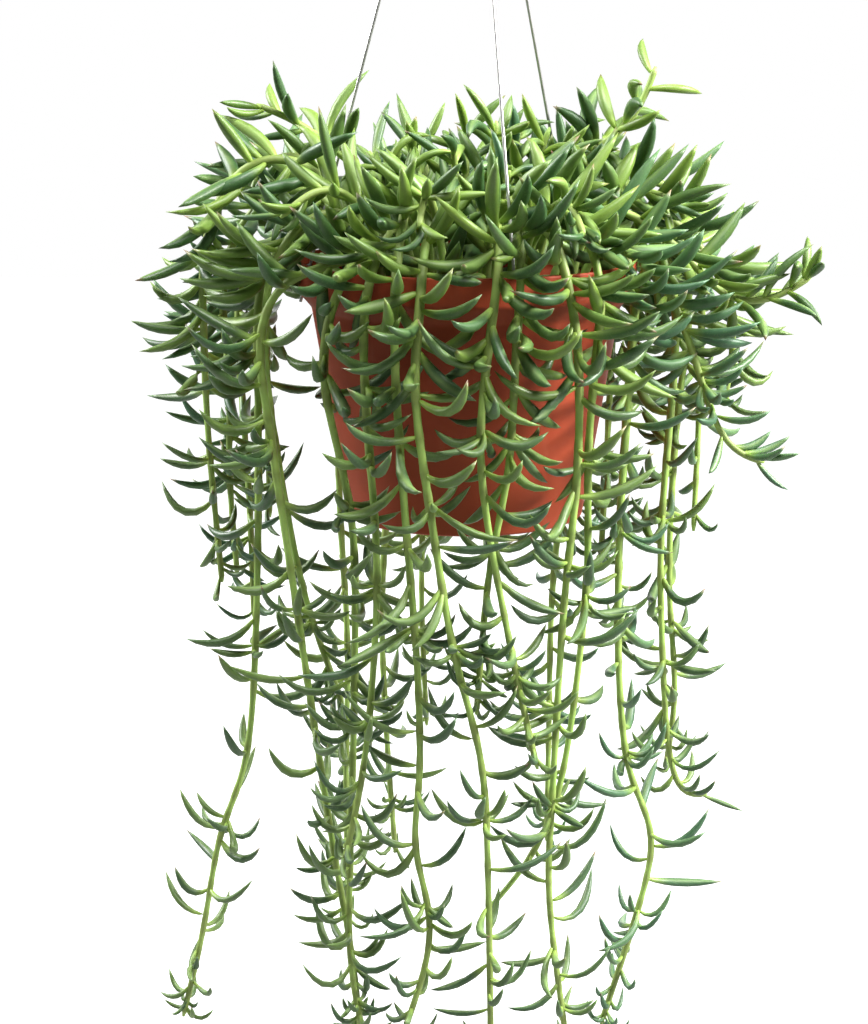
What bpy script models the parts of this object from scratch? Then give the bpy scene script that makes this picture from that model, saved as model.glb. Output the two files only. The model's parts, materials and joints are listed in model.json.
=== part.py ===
"""Potted string of bananas: a trailing succulent in a hanging plastic pot.

The origin is the seat of the hook, where the whole thing hangs, and +Z is up.
Sizes are millimetres, and every route is given from the centre of the pot's rim,
with +X to the right, +Y to the back and +Z up. place() turns them into metres
under the hook. Azimuths run clockwise from the back, seen from above.
"""

import math
import random
from dataclasses import dataclass, field

import bmesh
import bpy
import numpy as np
from mathutils import Matrix, Vector
from mathutils.kdtree import KDTree

# Scale and clearance
MM = 0.001
GAP = 0.3

# Pot: a tapered wall that steps out by a shoulder into an upright rim band
RIM_RADIUS = 75.0
RIM_BAND = 12.5
SHOULDER_DROP = 8.0
WALL_TOP_RADIUS = 68.0
BASE_RADIUS = 52.0
POT_HEIGHT = 114.0
WALL = 2.2
EDGE_ROUND = 0.9
POT_STEPS = 30
DRAIN_HOLES = 6
DRAIN_RADIUS = 4.5
DRAIN_CIRCLE = 36.0

# Soil: filled to a little below the shoulder
SOIL_TOP = -22.0
SOIL_CROWN = 1.5
SOIL_FLAT_RADIUS = 58.0
SOIL_STEPS = 24
ROOT_DEPTH = 8.0
ROOT_RISE = 6.0
HOLE_SIDES = 4
ROOT_SPACING = 10.5
ROOT_REACH = 54.0

# Hanger: three wires from the rim band to a ferrule, and a hook above it
HANG_DROP = 300.0
HOOK_WIRE = 1.5
HOOK_INNER = 11.0
HOOK_SHANK = 40.0
HOOK_ANGLES = (24, 290, 19)
FERRULE_RADIUS = 5.0
FERRULE_LENGTH = 16.0
FERRULE_SOCKET = 6.0
HANGER_WIRE = 0.7
WIRE_CIRCLE = 2.6
WIRE_AZIMUTHS = (44.0, 164.0, 284.0)
WIRE_HOLE = 1.2
WIRE_HOLE_DROP = 5.5
WIRE_TAIL = 6.0
WIRE_BEND = 0.9

# Stems
STEM_SIDES = 4
STEM_BASE_RADIUS = 2.1
STEM_TIP_RADIUS = 1.3
STEM_TAPER = 1.2
PATH_STEP = 5.0
PATH_TOLERANCE = 1.4
STEM_CLEARANCE = 1.2
SETTLE_ROUNDS = 30
EASING = 0.15
ROOT_RINGS = (51.0, 38.0)
ROOT_INSET = 0.85

# Leaves: bent spindles, widest before their middle and drawn out to a point. They stand away
# from an upright stem at one range of angles and from a hanging one at another. Those of an
# upright stem arch down or up, those of a hanging one hook up, more so lower down, and all sweep
# to one side a little. Leaves are shorter and slimmer on hanging stems, lower down and near a tip
LEAF_SIDES = 3
LEAF_RINGS = (0.30, 0.68)
LEAF_WIDEST = 0.45
LEAF_NECK = 0.32
LEAF_RISE = 2.4
LEAF_FALL = 2.1
LEAF_BEND = 1.3
LEAF_TURN = 137.5
TURN_PLAY = 20.0
LEAF_TRIES = 16
LEAF_SHIFT = 27.0
LEAF_CLEARANCE = 0.25
LEAF_CAPSULES = 4
LEAF_LENGTH = 44.0
LEAF_RADIUS = 3.7
LEAF_SIZES = (0.74, 1.1)
LEAF_SWELLS = (0.9, 1.08)
LENGTH_LOSS = (0.14, 0.18)
RADIUS_LOSS = (0.2, 0.2)
YOUNG_SIZE = (0.55, 0.6)
FIRST_LEAF = 24.0
LAST_LEAF = 3.0
TIP_SPACING = 4.0
TIP_GROWTH = 0.35
SHOOT_SPACING = 8.5
TRAIL_SPACING = (16.5, 46.0)
SPACING_PLAY = (0.6, 1.4)
CROWN_EDGE = -16.0
CROWN_BAND = 22.0
UPRIGHT_SPREAD = (46.0, 96.0)
HANGING_SPREAD = (38.0, 92.0)
UPRIGHT_CURL = (-0.9, 0.5)
HANGING_CURL = (0.9, 2.9)
CURL_BY_HEIGHT = (0.6, 0.8)
SIDE_SWEEP = 0.6
YOUNG_STRETCH = 60.0
LOWEST = 320.0

# Seeds of the draws
BACK_SEED = 7100
CROWN_SEED = 4200
RIM_SEED = 5600
SPACING_SEED = 3300

# Routes of the stems that trail or arch, in millimetres from the rim's centre
TRAILS = {
    "stem_left_1": [(-60, -13, 36), (-86, -15, 46), (-104, -12, 33), (-114, -10, 6), (-115, -8, -32),
                    (-114, -5, -80), (-109, -5, -145)],
    "stem_left_2": [(-58, 8, 24), (-80, 12, 30), (-101, 18, 12), (-109, 20, -18), (-106, 20, -60),
                    (-107, 20, -100), (-104, 20, -148)],
    "stem_left_3": [(-56, -24, 16), (-76, -27, 14), (-89, -30, -10), (-90, -30, -60), (-91, -30, -120),
                    (-94, -30, -190), (-99, -30, -227), (-110, -30, -255), (-118, -30, -300), (-128, -30, -342)],
    "stem_left_4": [(-34, -45, 8), (-58, -54, 3), (-79, -55, -4), (-88, -54, -28), (-84, -54, -65),
                    (-76, -54, -124), (-67, -54, -190), (-58, -54, -255), (-50, -54, -305), (-46, -54, -348)],
    "stem_left_5": [(-48, -30, 24), (-70, -38, 20), (-84, -40, -2), (-86, -40, -42), (-80, -40, -90),
                    (-70, -40, -144), (-54, -40, -192)],
    "shoot_left_6": [(-36, 10, 24), (-56, 12, 46), (-76, 12, 60), (-92, 12, 66)],
    "stem_front_1": [(-40, -44, 18), (-46, -57, 10), (-54, -62, -6), (-60, -62, -26), (-60, -60, -50),
                     (-49, -58, -104), (-48, -58, -160), (-50, -58, -240), (-51, -60, -304), (-42, -64, -350)],
    "stem_front_2": [(-30, -50, 22), (-36, -66, 13), (-43, -75, -12), (-42, -75, -58), (-38, -74, -118),
                     (-40, -74, -170), (-45, -74, -216), (-53, -74, -254)],
    "stem_front_3": [(-16, -56, 16), (-18, -74, 12), (-20, -86, -12), (-22, -87, -45), (-17, -86, -86),
                     (-6, -85, -155), (6, -84, -203), (9, -83, -250), (11, -82, -350)],
    "stem_front_4": [(-24, -42, 28), (-27, -64, 22), (-30, -79, -2), (-30, -79, -40), (-26, -79, -100),
                     (-21, -79, -165), (-20, -79, -215), (-23, -79, -243), (-15, -80, -284), (-30, -80, -338)],
    "stem_front_5": [(9, -56, 18), (12, -70, 26), (13, -82, 10), (9, -86, -22), (5, -86, -62), (8, -84, -100),
                     (22, -83, -173), (30, -83, -208)],
    "stem_front_6": [(15, -46, 30), (20, -64, 30), (22, -79, 8), (20, -81, -25), (17, -80, -80), (9, -78, -124),
                     (4, -76, -186)],
    "stem_front_7": [(27, -50, 20), (33, -61, 22), (40, -71, 4), (46, -73, -32), (46, -72, -85), (41, -71, -140),
                     (37, -70, -225), (36, -70, -272), (46, -70, -350)],
    "stem_front_8": [(36, -40, 26), (48, -54, 20), (56, -63, -4), (54, -64, -32), (51, -63, -75), (51, -62, -135),
                     (42, -62, -216), (30, -62, -252), (9, -62, -280)],
    "stem_right_1": [(52, -30, 20), (63, -35, 16), (72, -39, -10), (70, -38, -42), (67, -35, -110), (67, -34, -170),
                     (72, -34, -224), (84, -34, -252), (79, -34, -284), (62, -34, -343)],
    "stem_right_2": [(56, 0, 28), (74, 0, 25), (90, 0, -6), (93, 0, -38), (88, 0, -118), (89, 0, -170),
                     (93, 0, -225), (100, 0, -250), (111, 0, -246)],
    "stem_right_3": [(56, 20, 28), (76, 24, 32), (96, 26, 8), (101, 25, -28), (96, 25, -80), (94, 25, -150),
                     (98, 25, -205), (94, 25, -242)],
    "shoot_right_4": [(56, -14, 26), (78, -15, 16), (97, -15, 2), (108, -15, -13), (122, -15, -19),
                      (138, -15, -15), (150, -15, -6)],
    "shoot_right_5": [(58, -22, 10), (78, -24, 2), (93, -26, -24), (103, -27, -54), (110, -27, -74),
                      (121, -27, -86), (130, -27, -86)],
    "shoot_right_6": [(58, 8, 20), (80, 10, 23), (101, 10, 8), (115, 10, -14), (120, 10, -36), (116, 10, -66)],
    "shoot_right_7": [(28, 6, 22), (44, 4, 38), (58, 2, 48), (71, 0, 58), (79, 0, 72), (82, 0, 83)],
}

# Stems at the back: azimuth, reach at the rim, height of the crest and height of the tip
BACK_TRAILS = [(-72, 108, 34, -172), (-58, 108, 22, -128), (-44, 85, 26, -330), (-28, 88, 18, -300),
               (-12, 90, 30, -238), (3, 87, 20, -152), (18, 91, 27, -134), (33, 86, 18, -292),
               (45, 91, 30, -155), (56, 98, 22, -186), (66, 113, 32, -130)]

# Shoots that stand in the crown
CROWN_SHOOTS = 12
CROWN_ROOT_CIRCLE = 27.0
CROWN_SPREAD = 2.0
CROWN_HEIGHT = 66.0
CROWN_FALL = 0.36

# Shoots that lean out over the rim, evenly all round
RIM_SHOOTS = 8
RIM_FIRST = 10.0
RIM_REACH = 96.0
RIM_CREST = 36.0

COLOURS = {
    "pot": ((0.36, 0.085, 0.04), 0.45, 0.0),
    "soil": ((0.035, 0.022, 0.014), 0.95, 0.0),
    "wire": ((0.62, 0.62, 0.60), 0.35, 1.0),
    "stem": ((0.12, 0.22, 0.05), 0.5, 0.0),
}


@dataclass
class Stem:
    """One leafy stem: its smooth path, its own radius and the leaves that grow on it."""

    name: str
    path: np.ndarray
    is_trail: bool
    leaves: list = field(default_factory=list)

    def lengths(self):
        """Distance along the path at each of its points."""
        steps = np.linalg.norm(np.diff(self.path, axis=0), axis=1)
        return np.concatenate([[0.0], np.cumsum(steps)])

    def foot(self):
        """How many of the path's first points stand upright, in and just above the soil."""
        return int(np.argmax(self.path[:, 2] > SOIL_TOP + ROOT_RISE))

    def kept(self):
        """Indices of the path points that the plain solid uses: its upright foot, then the fewest."""
        top = self.foot() - 1
        return [0] + [top + index for index in thinned(self.path[top:], PATH_TOLERANCE)]

    def point_at(self, along):
        """Point on the middle of the plain solid, whose path runs straight between its kept points."""
        keep = self.kept()
        return np.array([np.interp(along, self.lengths()[keep], self.path[keep, axis]) for axis in range(3)])

    def radius_at(self, along):
        """Radius of the stem, which narrows towards its tip."""
        share = np.clip(along / self.lengths()[-1], 0.0, 1.0)
        return STEM_BASE_RADIUS + (STEM_TIP_RADIUS - STEM_BASE_RADIUS) * share ** STEM_TAPER


@dataclass
class Leaf:
    """One leaf: the points of its bent axis and its greatest radius."""

    axis: np.ndarray
    radius: float


def polar(azimuth, radius, height=0.0):
    """Point at an azimuth in degrees, clockwise from the back."""
    angle = math.radians(azimuth)
    return np.array([radius * math.sin(angle), radius * math.cos(angle), height])


def place(point):
    """Metres under the hook, from millimetres round the rim's centre."""
    return Vector((point[0] * MM, point[1] * MM, (point[2] - HANG_DROP) * MM))


def unit(vector):
    """The vector at length one."""
    return vector / max(np.linalg.norm(vector), 1e-9)


def material(name, colour, roughness, metallic):
    """Principled material of one plain colour."""
    made = bpy.data.materials.new(name)
    made.use_nodes = True
    shader = made.node_tree.nodes["Principled BSDF"]
    shader.inputs["Base Color"].default_value = (*colour, 1.0)
    shader.inputs["Roughness"].default_value = roughness
    shader.inputs["Metallic"].default_value = metallic
    return made


def add_object(name, data, collection, finish=None):
    """New object in a collection, with its own material."""
    made = bpy.data.objects.new(name, data)
    collection.objects.link(made)
    if finish:
        colour, roughness, metallic = COLOURS[finish]
        made.data.materials.append(material(name + "_" + finish, colour, roughness, metallic))
    return made


def turned(name, profile, steps, collection, finish):
    """Solid of revolution about Z: a profile of (radius, height) pairs, turned by a Screw modifier."""
    mesh = bpy.data.meshes.new(name)
    mesh.from_pydata([place((r, 0.0, z)) for r, z in profile], [(i, i + 1) for i in range(len(profile) - 1)], [])
    made = add_object(name, mesh, collection, finish)
    screw = made.modifiers.new("turn", "SCREW")
    screw.steps = steps
    screw.render_steps = steps
    screw.use_merge_vertices = True
    screw.merge_threshold = 0.00001
    return made


def settled_mesh(made):
    """Mesh of an object with its modifiers applied."""
    bpy.context.view_layer.update()
    evaluated = made.evaluated_get(bpy.context.evaluated_depsgraph_get())
    return bpy.data.meshes.new_from_object(evaluated)


def cut(target, cutters, collection, name):
    """Boolean difference of a target with all its cutters, which stay in their own collection."""
    holder = bpy.data.collections.new(name)
    collection.children.link(holder)
    for made in cutters:
        holder.objects.link(made)
        made.hide_render = True
        made.display_type = "WIRE"
    boolean = target.modifiers.new("holes", "BOOLEAN")
    boolean.operation = "DIFFERENCE"
    boolean.operand_type = "COLLECTION"
    boolean.collection = holder
    boolean.solver = "EXACT"


def peg(name, start, end, radius, sides, turn=0.0):
    """Closed cylinder between two points, for a hole."""
    mesh = bpy.data.meshes.new(name)
    form = bmesh.new()
    first, last = place(start), place(end)
    along = last - first
    spin = Matrix.Rotation(math.radians(turn), 4, "Z")
    stand = Matrix.Translation((first + last) / 2) @ along.to_track_quat("Z", "Y").to_matrix().to_4x4() @ spin
    bmesh.ops.create_cone(form, cap_ends=True, segments=sides, radius1=radius * MM, radius2=radius * MM,
                          depth=along.length, matrix=stand)
    form.to_mesh(mesh)
    form.free()
    return bpy.data.objects.new(name, mesh)


def wire_object(name, points, radius, resolution, collection, finish):
    """Round wire along a list of points: a poly curve with a bevel and filled caps."""
    curve = bpy.data.curves.new(name, "CURVE")
    curve.dimensions = "3D"
    curve.bevel_depth = radius * MM
    curve.bevel_resolution = resolution
    curve.use_fill_caps = True
    spline = curve.splines.new("POLY")
    spline.points.add(len(points) - 1)
    for knot, point in zip(spline.points, points):
        knot.co = (*place(point), 1.0)
    return add_object(name, curve, collection, finish)


def smooth_path(points, step):
    """Catmull-Rom curve through the points, with a point about every step."""
    knots = np.array(points, dtype=float)
    knots = np.vstack([2 * knots[0] - knots[1], knots, 2 * knots[-1] - knots[-2]])
    share = np.linspace(0.0, 1.0, 24, endpoint=False)[:, None]
    pieces = []
    for before, start, end, after in zip(knots, knots[1:], knots[2:], knots[3:]):
        pieces.append(0.5 * (2 * start + (end - before) * share
                             + (2 * before - 5 * start + 4 * end - after) * share ** 2
                             + (3 * start - before - 3 * end + after) * share ** 3))
    dense = np.vstack(pieces + [knots[-2:-1]])
    gone = np.concatenate([[0.0], np.cumsum(np.linalg.norm(np.diff(dense, axis=0), axis=1))])
    stations = np.linspace(0.0, gone[-1], max(int(round(gone[-1] / step)), 2) + 1)
    return np.stack([np.interp(stations, gone, dense[:, axis]) for axis in range(3)], axis=1)


def thinned(path, tolerance):
    """Indices of the fewest path points that keep every other within a tolerance of the line."""
    first, last = path[0], path[-1]
    along = unit(last - first)
    offsets = path - first
    misses = np.linalg.norm(offsets - np.outer(offsets @ along, along), axis=1)
    worst = int(np.argmax(misses))
    if len(path) < 3 or misses[worst] < tolerance:
        return [0, len(path) - 1]
    left = thinned(path[:worst + 1], tolerance)
    right = thinned(path[worst:], tolerance)
    return left + [worst + index for index in right[1:]]


def turning_frames(path):
    """Tangent, side and lift at each path point, carried along without twist."""
    tangents = np.gradient(path, axis=0)
    tangents /= np.linalg.norm(tangents, axis=1)[:, None]
    side = unit(np.cross(tangents[0], [0.0, 1.0, 0.0]) if abs(tangents[0][1]) < 0.9 else np.array([1.0, 0.0, 0.0]))
    sides = []
    for tangent in tangents:
        side = unit(side - tangent * (side @ tangent))
        sides.append(side)
    sides = np.array(sides)
    return tangents, sides, np.cross(tangents, sides)


def root_of(target, ring):
    """Place of a stem's root in the soil: on a ring, in the direction that the stem goes."""
    flat = np.array([target[0], target[1], 0.0])
    return unit(flat) * min(ROOT_RINGS[ring % len(ROOT_RINGS)], np.linalg.norm(flat) * ROOT_INSET)


def spread_roots(roots):
    """Moves the roots apart where two are closer than their spacing, and keeps them in the pot."""
    roots = np.array(roots)
    for _ in range(SETTLE_ROUNDS):
        offsets = roots[:, None, :] - roots[None, :, :]
        gaps = np.linalg.norm(offsets, axis=2)
        lack = np.where(gaps > 0.0, np.clip(ROOT_SPACING - gaps, 0.0, None), 0.0)
        roots += (offsets / np.maximum(gaps, 1e-6)[:, :, None] * lack[:, :, None]).sum(axis=1) * 0.3
        reach = np.linalg.norm(roots, axis=1)
        roots *= np.minimum(1.0, ROOT_REACH / np.maximum(reach, 1e-6))[:, None]
    return roots


def rooted(root, route):
    """Route with its straight start: down in the soil, then upright out of it."""
    heights = (SOIL_TOP - ROOT_DEPTH, SOIL_TOP + ROOT_RISE, SOIL_TOP + ROOT_RISE * 2)
    return [(root[0], root[1], height) for height in heights] + [tuple(point) for point in route]


def back_route(azimuth, reach, crest, tip):
    """Route of a stem at the back: up, over the rim, and down with a slight sway."""
    draw = random.Random(BACK_SEED + azimuth)
    sway = draw.uniform(-4.0, 4.0)
    heights = [(0.68, crest - 6), (0.86, crest), (1.0, -8), (1.02, -48)]
    route = [polar(azimuth + sway * share, reach * share, height) for share, height in heights]
    fall = tip + 48
    count = max(int(-fall / 60), 1)
    for index in range(1, count + 1):
        turn = azimuth + sway + draw.uniform(-3.0, 3.0)
        route.append(polar(turn, reach * (1.0 - 0.02 * index), -48 + fall * index / count))
    return route


def crown_route(index):
    """Route of a shoot in the crown: roots in a sunflower pattern, leaning out as they rise."""
    draw = random.Random(CROWN_SEED + index)
    share = math.sqrt((index + 0.5) / CROWN_SHOOTS)
    azimuth = index * LEAF_TURN
    foot = CROWN_ROOT_CIRCLE * share
    lean = foot * CROWN_SPREAD * draw.uniform(0.9, 1.1)
    top = CROWN_HEIGHT * draw.uniform(0.88, 1.08) - CROWN_FALL * lean
    route = [polar(azimuth, foot + (lean - foot) * 0.3, top * 0.35),
             polar(azimuth, foot + (lean - foot) * 0.7, top * 0.78), polar(azimuth, lean, top)]
    return polar(azimuth, foot), route


def rim_route(index):
    """Route of a shoot that leans out over the rim and nods a little at its tip."""
    draw = random.Random(RIM_SEED + index)
    azimuth = RIM_FIRST + index * 360.0 / RIM_SHOOTS + draw.uniform(-7.0, 7.0)
    reach = RIM_REACH * draw.uniform(0.9, 1.06)
    crest = RIM_CREST * draw.uniform(0.7, 1.3)
    bend = draw.uniform(-8.0, 8.0)
    return [polar(azimuth, reach * 0.6, crest * 0.7), polar(azimuth + bend * 0.4, reach * 0.8, crest),
            polar(azimuth + bend, reach, crest - 14)]


def pot_section():
    """Walls of the pot as (radius, height) pairs along their middles, and their half thickness."""
    half = WALL / 2
    return [((RIM_RADIUS - half, 0.0), (RIM_RADIUS - half, -RIM_BAND)),
            ((RIM_RADIUS - half, -RIM_BAND), (WALL_TOP_RADIUS - half, -RIM_BAND - SHOULDER_DROP)),
            ((WALL_TOP_RADIUS - half, -RIM_BAND - SHOULDER_DROP), (BASE_RADIUS - half, -POT_HEIGHT)),
            ((BASE_RADIUS - half, -POT_HEIGHT + half), (0.0, -POT_HEIGHT + half))]


def pot_misses(points):
    """Distance of points from the pot's walls, and the way out of them in the (radius, height) plane."""
    flat = np.stack([np.hypot(points[:, 0], points[:, 1]), points[:, 2]], axis=1)
    best = np.full(len(points), 1e9)
    way = np.zeros((len(points), 2))
    for start, end in pot_section():
        start, end = np.array(start), np.array(end)
        run = end - start
        share = np.clip(((flat - start) @ run) / (run @ run), 0.0, 1.0)
        offset = flat - (start + share[:, None] * run)
        miss = np.linalg.norm(offset, axis=1)
        nearer = miss < best
        best = np.where(nearer, miss, best)
        way[nearer] = offset[nearer] / np.maximum(miss[nearer], 1e-6)[:, None]
    return best - WALL / 2, way


def soil_height(points):
    """Height of the soil's top under points, or far below where there's no soil."""
    reach = np.hypot(points[:, 0], points[:, 1])
    return np.where(reach < WALL_TOP_RADIUS, SOIL_TOP + SOIL_CROWN, -1e6)


def wire_path(azimuth):
    """Points of a hanger wire: its tail outside the band, the hole, and the straight run to the ferrule."""
    inner = RIM_RADIUS - WALL - HANGER_WIRE - WIRE_BEND
    outer = RIM_RADIUS + HANGER_WIRE + WIRE_BEND
    level = -WIRE_HOLE_DROP
    top = HANG_DROP - HOOK_SHANK - FERRULE_LENGTH + FERRULE_SOCKET - GAP
    foot = HANG_DROP - HOOK_SHANK - FERRULE_LENGTH - 4.0
    return [polar(azimuth, outer + WIRE_BEND, level + WIRE_TAIL), polar(azimuth, outer, level + WIRE_BEND),
            polar(azimuth, outer - WIRE_BEND, level), polar(azimuth, inner + WIRE_BEND, level),
            polar(azimuth, inner, level + WIRE_BEND), polar(azimuth, WIRE_CIRCLE, foot),
            polar(azimuth, WIRE_CIRCLE, top)]


def make_routes():
    """Stems with their first smooth paths, in a fixed order."""
    routes = dict(TRAILS)
    for index, (azimuth, reach, crest, tip) in enumerate(BACK_TRAILS):
        routes["stem_back_%d" % (index + 1)] = back_route(azimuth, reach, crest, tip)
    for index in range(RIM_SHOOTS):
        routes["shoot_rim_%d" % (index + 1)] = rim_route(index)
    roots = [root_of(route[0], ring) for ring, route in enumerate(routes.values())]
    for index in range(CROWN_SHOOTS):
        root, route = crown_route(index)
        roots.append(root)
        routes["shoot_crown_%d" % (index + 1)] = route
    roots = spread_roots(roots)
    return [Stem(name, smooth_path(rooted(root, route), PATH_STEP), name.startswith("stem"))
            for root, (name, route) in zip(roots, routes.items())]


def settle(stems):
    """Bends the stems clear of each other, of the pot and of the wires, a little in each round."""
    owners = np.concatenate([np.full(len(stem.path), index) for index, stem in enumerate(stems)])
    points = np.concatenate([stem.path for stem in stems])
    radii = np.concatenate([stem.radius_at(stem.lengths()) for stem in stems])
    free = np.concatenate([np.arange(len(stem.path)) >= stem.foot() for stem in stems])
    starts = np.flatnonzero(np.diff(np.concatenate([[-1], owners])))
    inner = np.ones(len(points), dtype=bool)
    inner[starts] = False
    inner[np.concatenate([starts[1:] - 1, [len(points) - 1]])] = False
    wires = [smooth_path(wire_path(azimuth)[4:6], PATH_STEP) for azimuth in WIRE_AZIMUTHS]
    wires = np.concatenate(wires)
    reach = 2 * STEM_BASE_RADIUS + STEM_CLEARANCE + PATH_STEP / 2
    for _ in range(SETTLE_ROUNDS):
        push = np.zeros_like(points)
        tree = KDTree(len(points))
        for index, point in enumerate(points):
            tree.insert(point, index)
        tree.balance()
        for index, point in enumerate(points):
            for _, other, distance in tree.find_range(point, reach):
                need = radii[index] + radii[other] + STEM_CLEARANCE
                need = math.hypot(need, PATH_STEP / 2)
                if owners[other] != owners[index] and distance < need:
                    push[index] += unit(point - points[other]) * (need - distance) * 0.5
        for index, point in enumerate(points):
            gaps = np.linalg.norm(wires - point, axis=1)
            nearest = int(np.argmin(gaps))
            need = math.hypot(radii[index] + HANGER_WIRE + STEM_CLEARANCE, PATH_STEP / 2)
            if gaps[nearest] < need:
                push[index] += unit(point - wires[nearest]) * (need - gaps[nearest])
        misses, way = pot_misses(points)
        lack = np.clip(radii + STEM_CLEARANCE - misses, 0.0, None)
        flat = points[:, :2] / np.maximum(np.hypot(points[:, 0], points[:, 1]), 1e-6)[:, None]
        push[:, :2] += flat * (way[:, :1] * lack[:, None])
        push[:, 2] += way[:, 1] * lack
        push[~free] = 0.0
        points = points + push
        middle = (np.roll(points, 1, axis=0) + np.roll(points, -1, axis=0)) / 2
        eased = inner & free
        points[eased] += (middle[eased] - points[eased]) * EASING
    for index, stem in enumerate(stems):
        stem.path = points[owners == index]


def segment_gaps(a0, a1, b0, b1):
    """Least distance between two lists of segments, pair by pair, from their closest points."""
    run_a, run_b, across = a1 - a0, b1 - b0, a0 - b0
    aa = np.einsum("ij,ij->i", run_a, run_a) + 1e-12
    bb = np.einsum("ij,ij->i", run_b, run_b) + 1e-12
    ab = np.einsum("ij,ij->i", run_a, run_b)
    ac = np.einsum("ij,ij->i", run_a, across)
    bc = np.einsum("ij,ij->i", run_b, across)
    share_a = np.clip((ab * bc - ac * bb) / np.maximum(aa * bb - ab * ab, 1e-9), 0.0, 1.0)
    share_b = np.clip((ab * share_a + bc) / bb, 0.0, 1.0)
    share_a = np.clip((ab * share_b - ac) / aa, 0.0, 1.0)
    near = across + run_a * share_a[:, None] - run_b * share_b[:, None]
    return np.linalg.norm(near, axis=1)


class Crowd:
    """Everything that leaves keep clear of, as capsules: two ends, a radius and an owner."""

    def __init__(self):
        self.starts = np.empty((0, 3))
        self.ends = np.empty((0, 3))
        self.radii = np.empty(0)
        self.owners = np.empty(0, dtype=int)

    def add(self, points, radii, owner):
        """Adds the capsules along a line of points."""
        self.starts = np.vstack([self.starts, points[:-1]])
        self.ends = np.vstack([self.ends, points[1:]])
        self.radii = np.concatenate([self.radii, radii])
        self.owners = np.concatenate([self.owners, np.full(len(radii), owner)])

    def clear(self, points, radii, owner):
        """True if a line of capsules keeps its clearance, and its outer half keeps off its own stem."""
        middle = points.mean(axis=0)
        reach = np.linalg.norm(points - middle, axis=1).max() + radii.max() + LEAF_CLEARANCE
        centres = (self.starts + self.ends) / 2
        spans = np.linalg.norm(self.ends - self.starts, axis=1) / 2
        close = np.linalg.norm(centres - middle, axis=1) < reach + spans + self.radii
        starts, ends, others = self.starts[close], self.ends[close], self.radii[close]
        own = self.owners[close] == owner
        for index, radius in enumerate(radii):
            use = ~own if index < len(radii) / 2 else np.ones(len(own), dtype=bool)
            if not use.any():
                continue
            count = int(use.sum())
            first = np.repeat(points[index:index + 1], count, axis=0)
            last = np.repeat(points[index + 1:index + 2], count, axis=0)
            gaps = segment_gaps(first, last, starts[use], ends[use])
            if (gaps < radius + others[use] + LEAF_CLEARANCE).any():
                return False
        return True


def leaf_width(share):
    """Radius of a leaf along its length, as a share of its greatest radius."""
    share = np.asarray(share, dtype=float)
    rise = 1.0 - (1.0 - LEAF_NECK) * np.clip(1.0 - share / LEAF_WIDEST, 0.0, 1.0) ** LEAF_RISE
    fall = 1.0 - np.clip((share - LEAF_WIDEST) / (1.0 - LEAF_WIDEST), 0.0, 1.0) ** LEAF_FALL
    return np.where(share < LEAF_WIDEST, rise, fall)


def leaf_axis(root, heading, length, curl, sweep, count):
    """Points of a bent leaf axis: it leaves along heading, then curls up or down and sweeps aside."""
    shares = (np.arange(count) + 0.5) / count
    pull = np.array([0.0, 0.0, curl]) + unit(np.cross(heading, [0.0, 0.0, 1.0])) * sweep
    ways = heading[None, :] + np.outer(shares ** LEAF_BEND, pull)
    ways /= np.linalg.norm(ways, axis=1)[:, None]
    return np.vstack([root, root + np.cumsum(ways, axis=0) * length / count])


def leaf_stations(stem, owner):
    """Uneven distances along a stem where its leaves grow, closer in the crown and at the tip."""
    draw = random.Random(SPACING_SEED + owner)
    lengths = stem.lengths()
    along = FIRST_LEAF
    stations = []
    while along < lengths[-1] - LAST_LEAF:
        stations.append(along)
        height = np.interp(along, lengths, stem.path[:, 2])
        low = float(np.clip((CROWN_EDGE - height) / CROWN_BAND, 0.0, 1.0))
        spacing = SHOOT_SPACING if not stem.is_trail else TRAIL_SPACING[0] * (1.0 - low) + TRAIL_SPACING[1] * low
        nearing = TIP_SPACING + (lengths[-1] - along) * TIP_GROWTH
        along += min(spacing, nearing) * draw.uniform(*SPACING_PLAY)
    return stations


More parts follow.
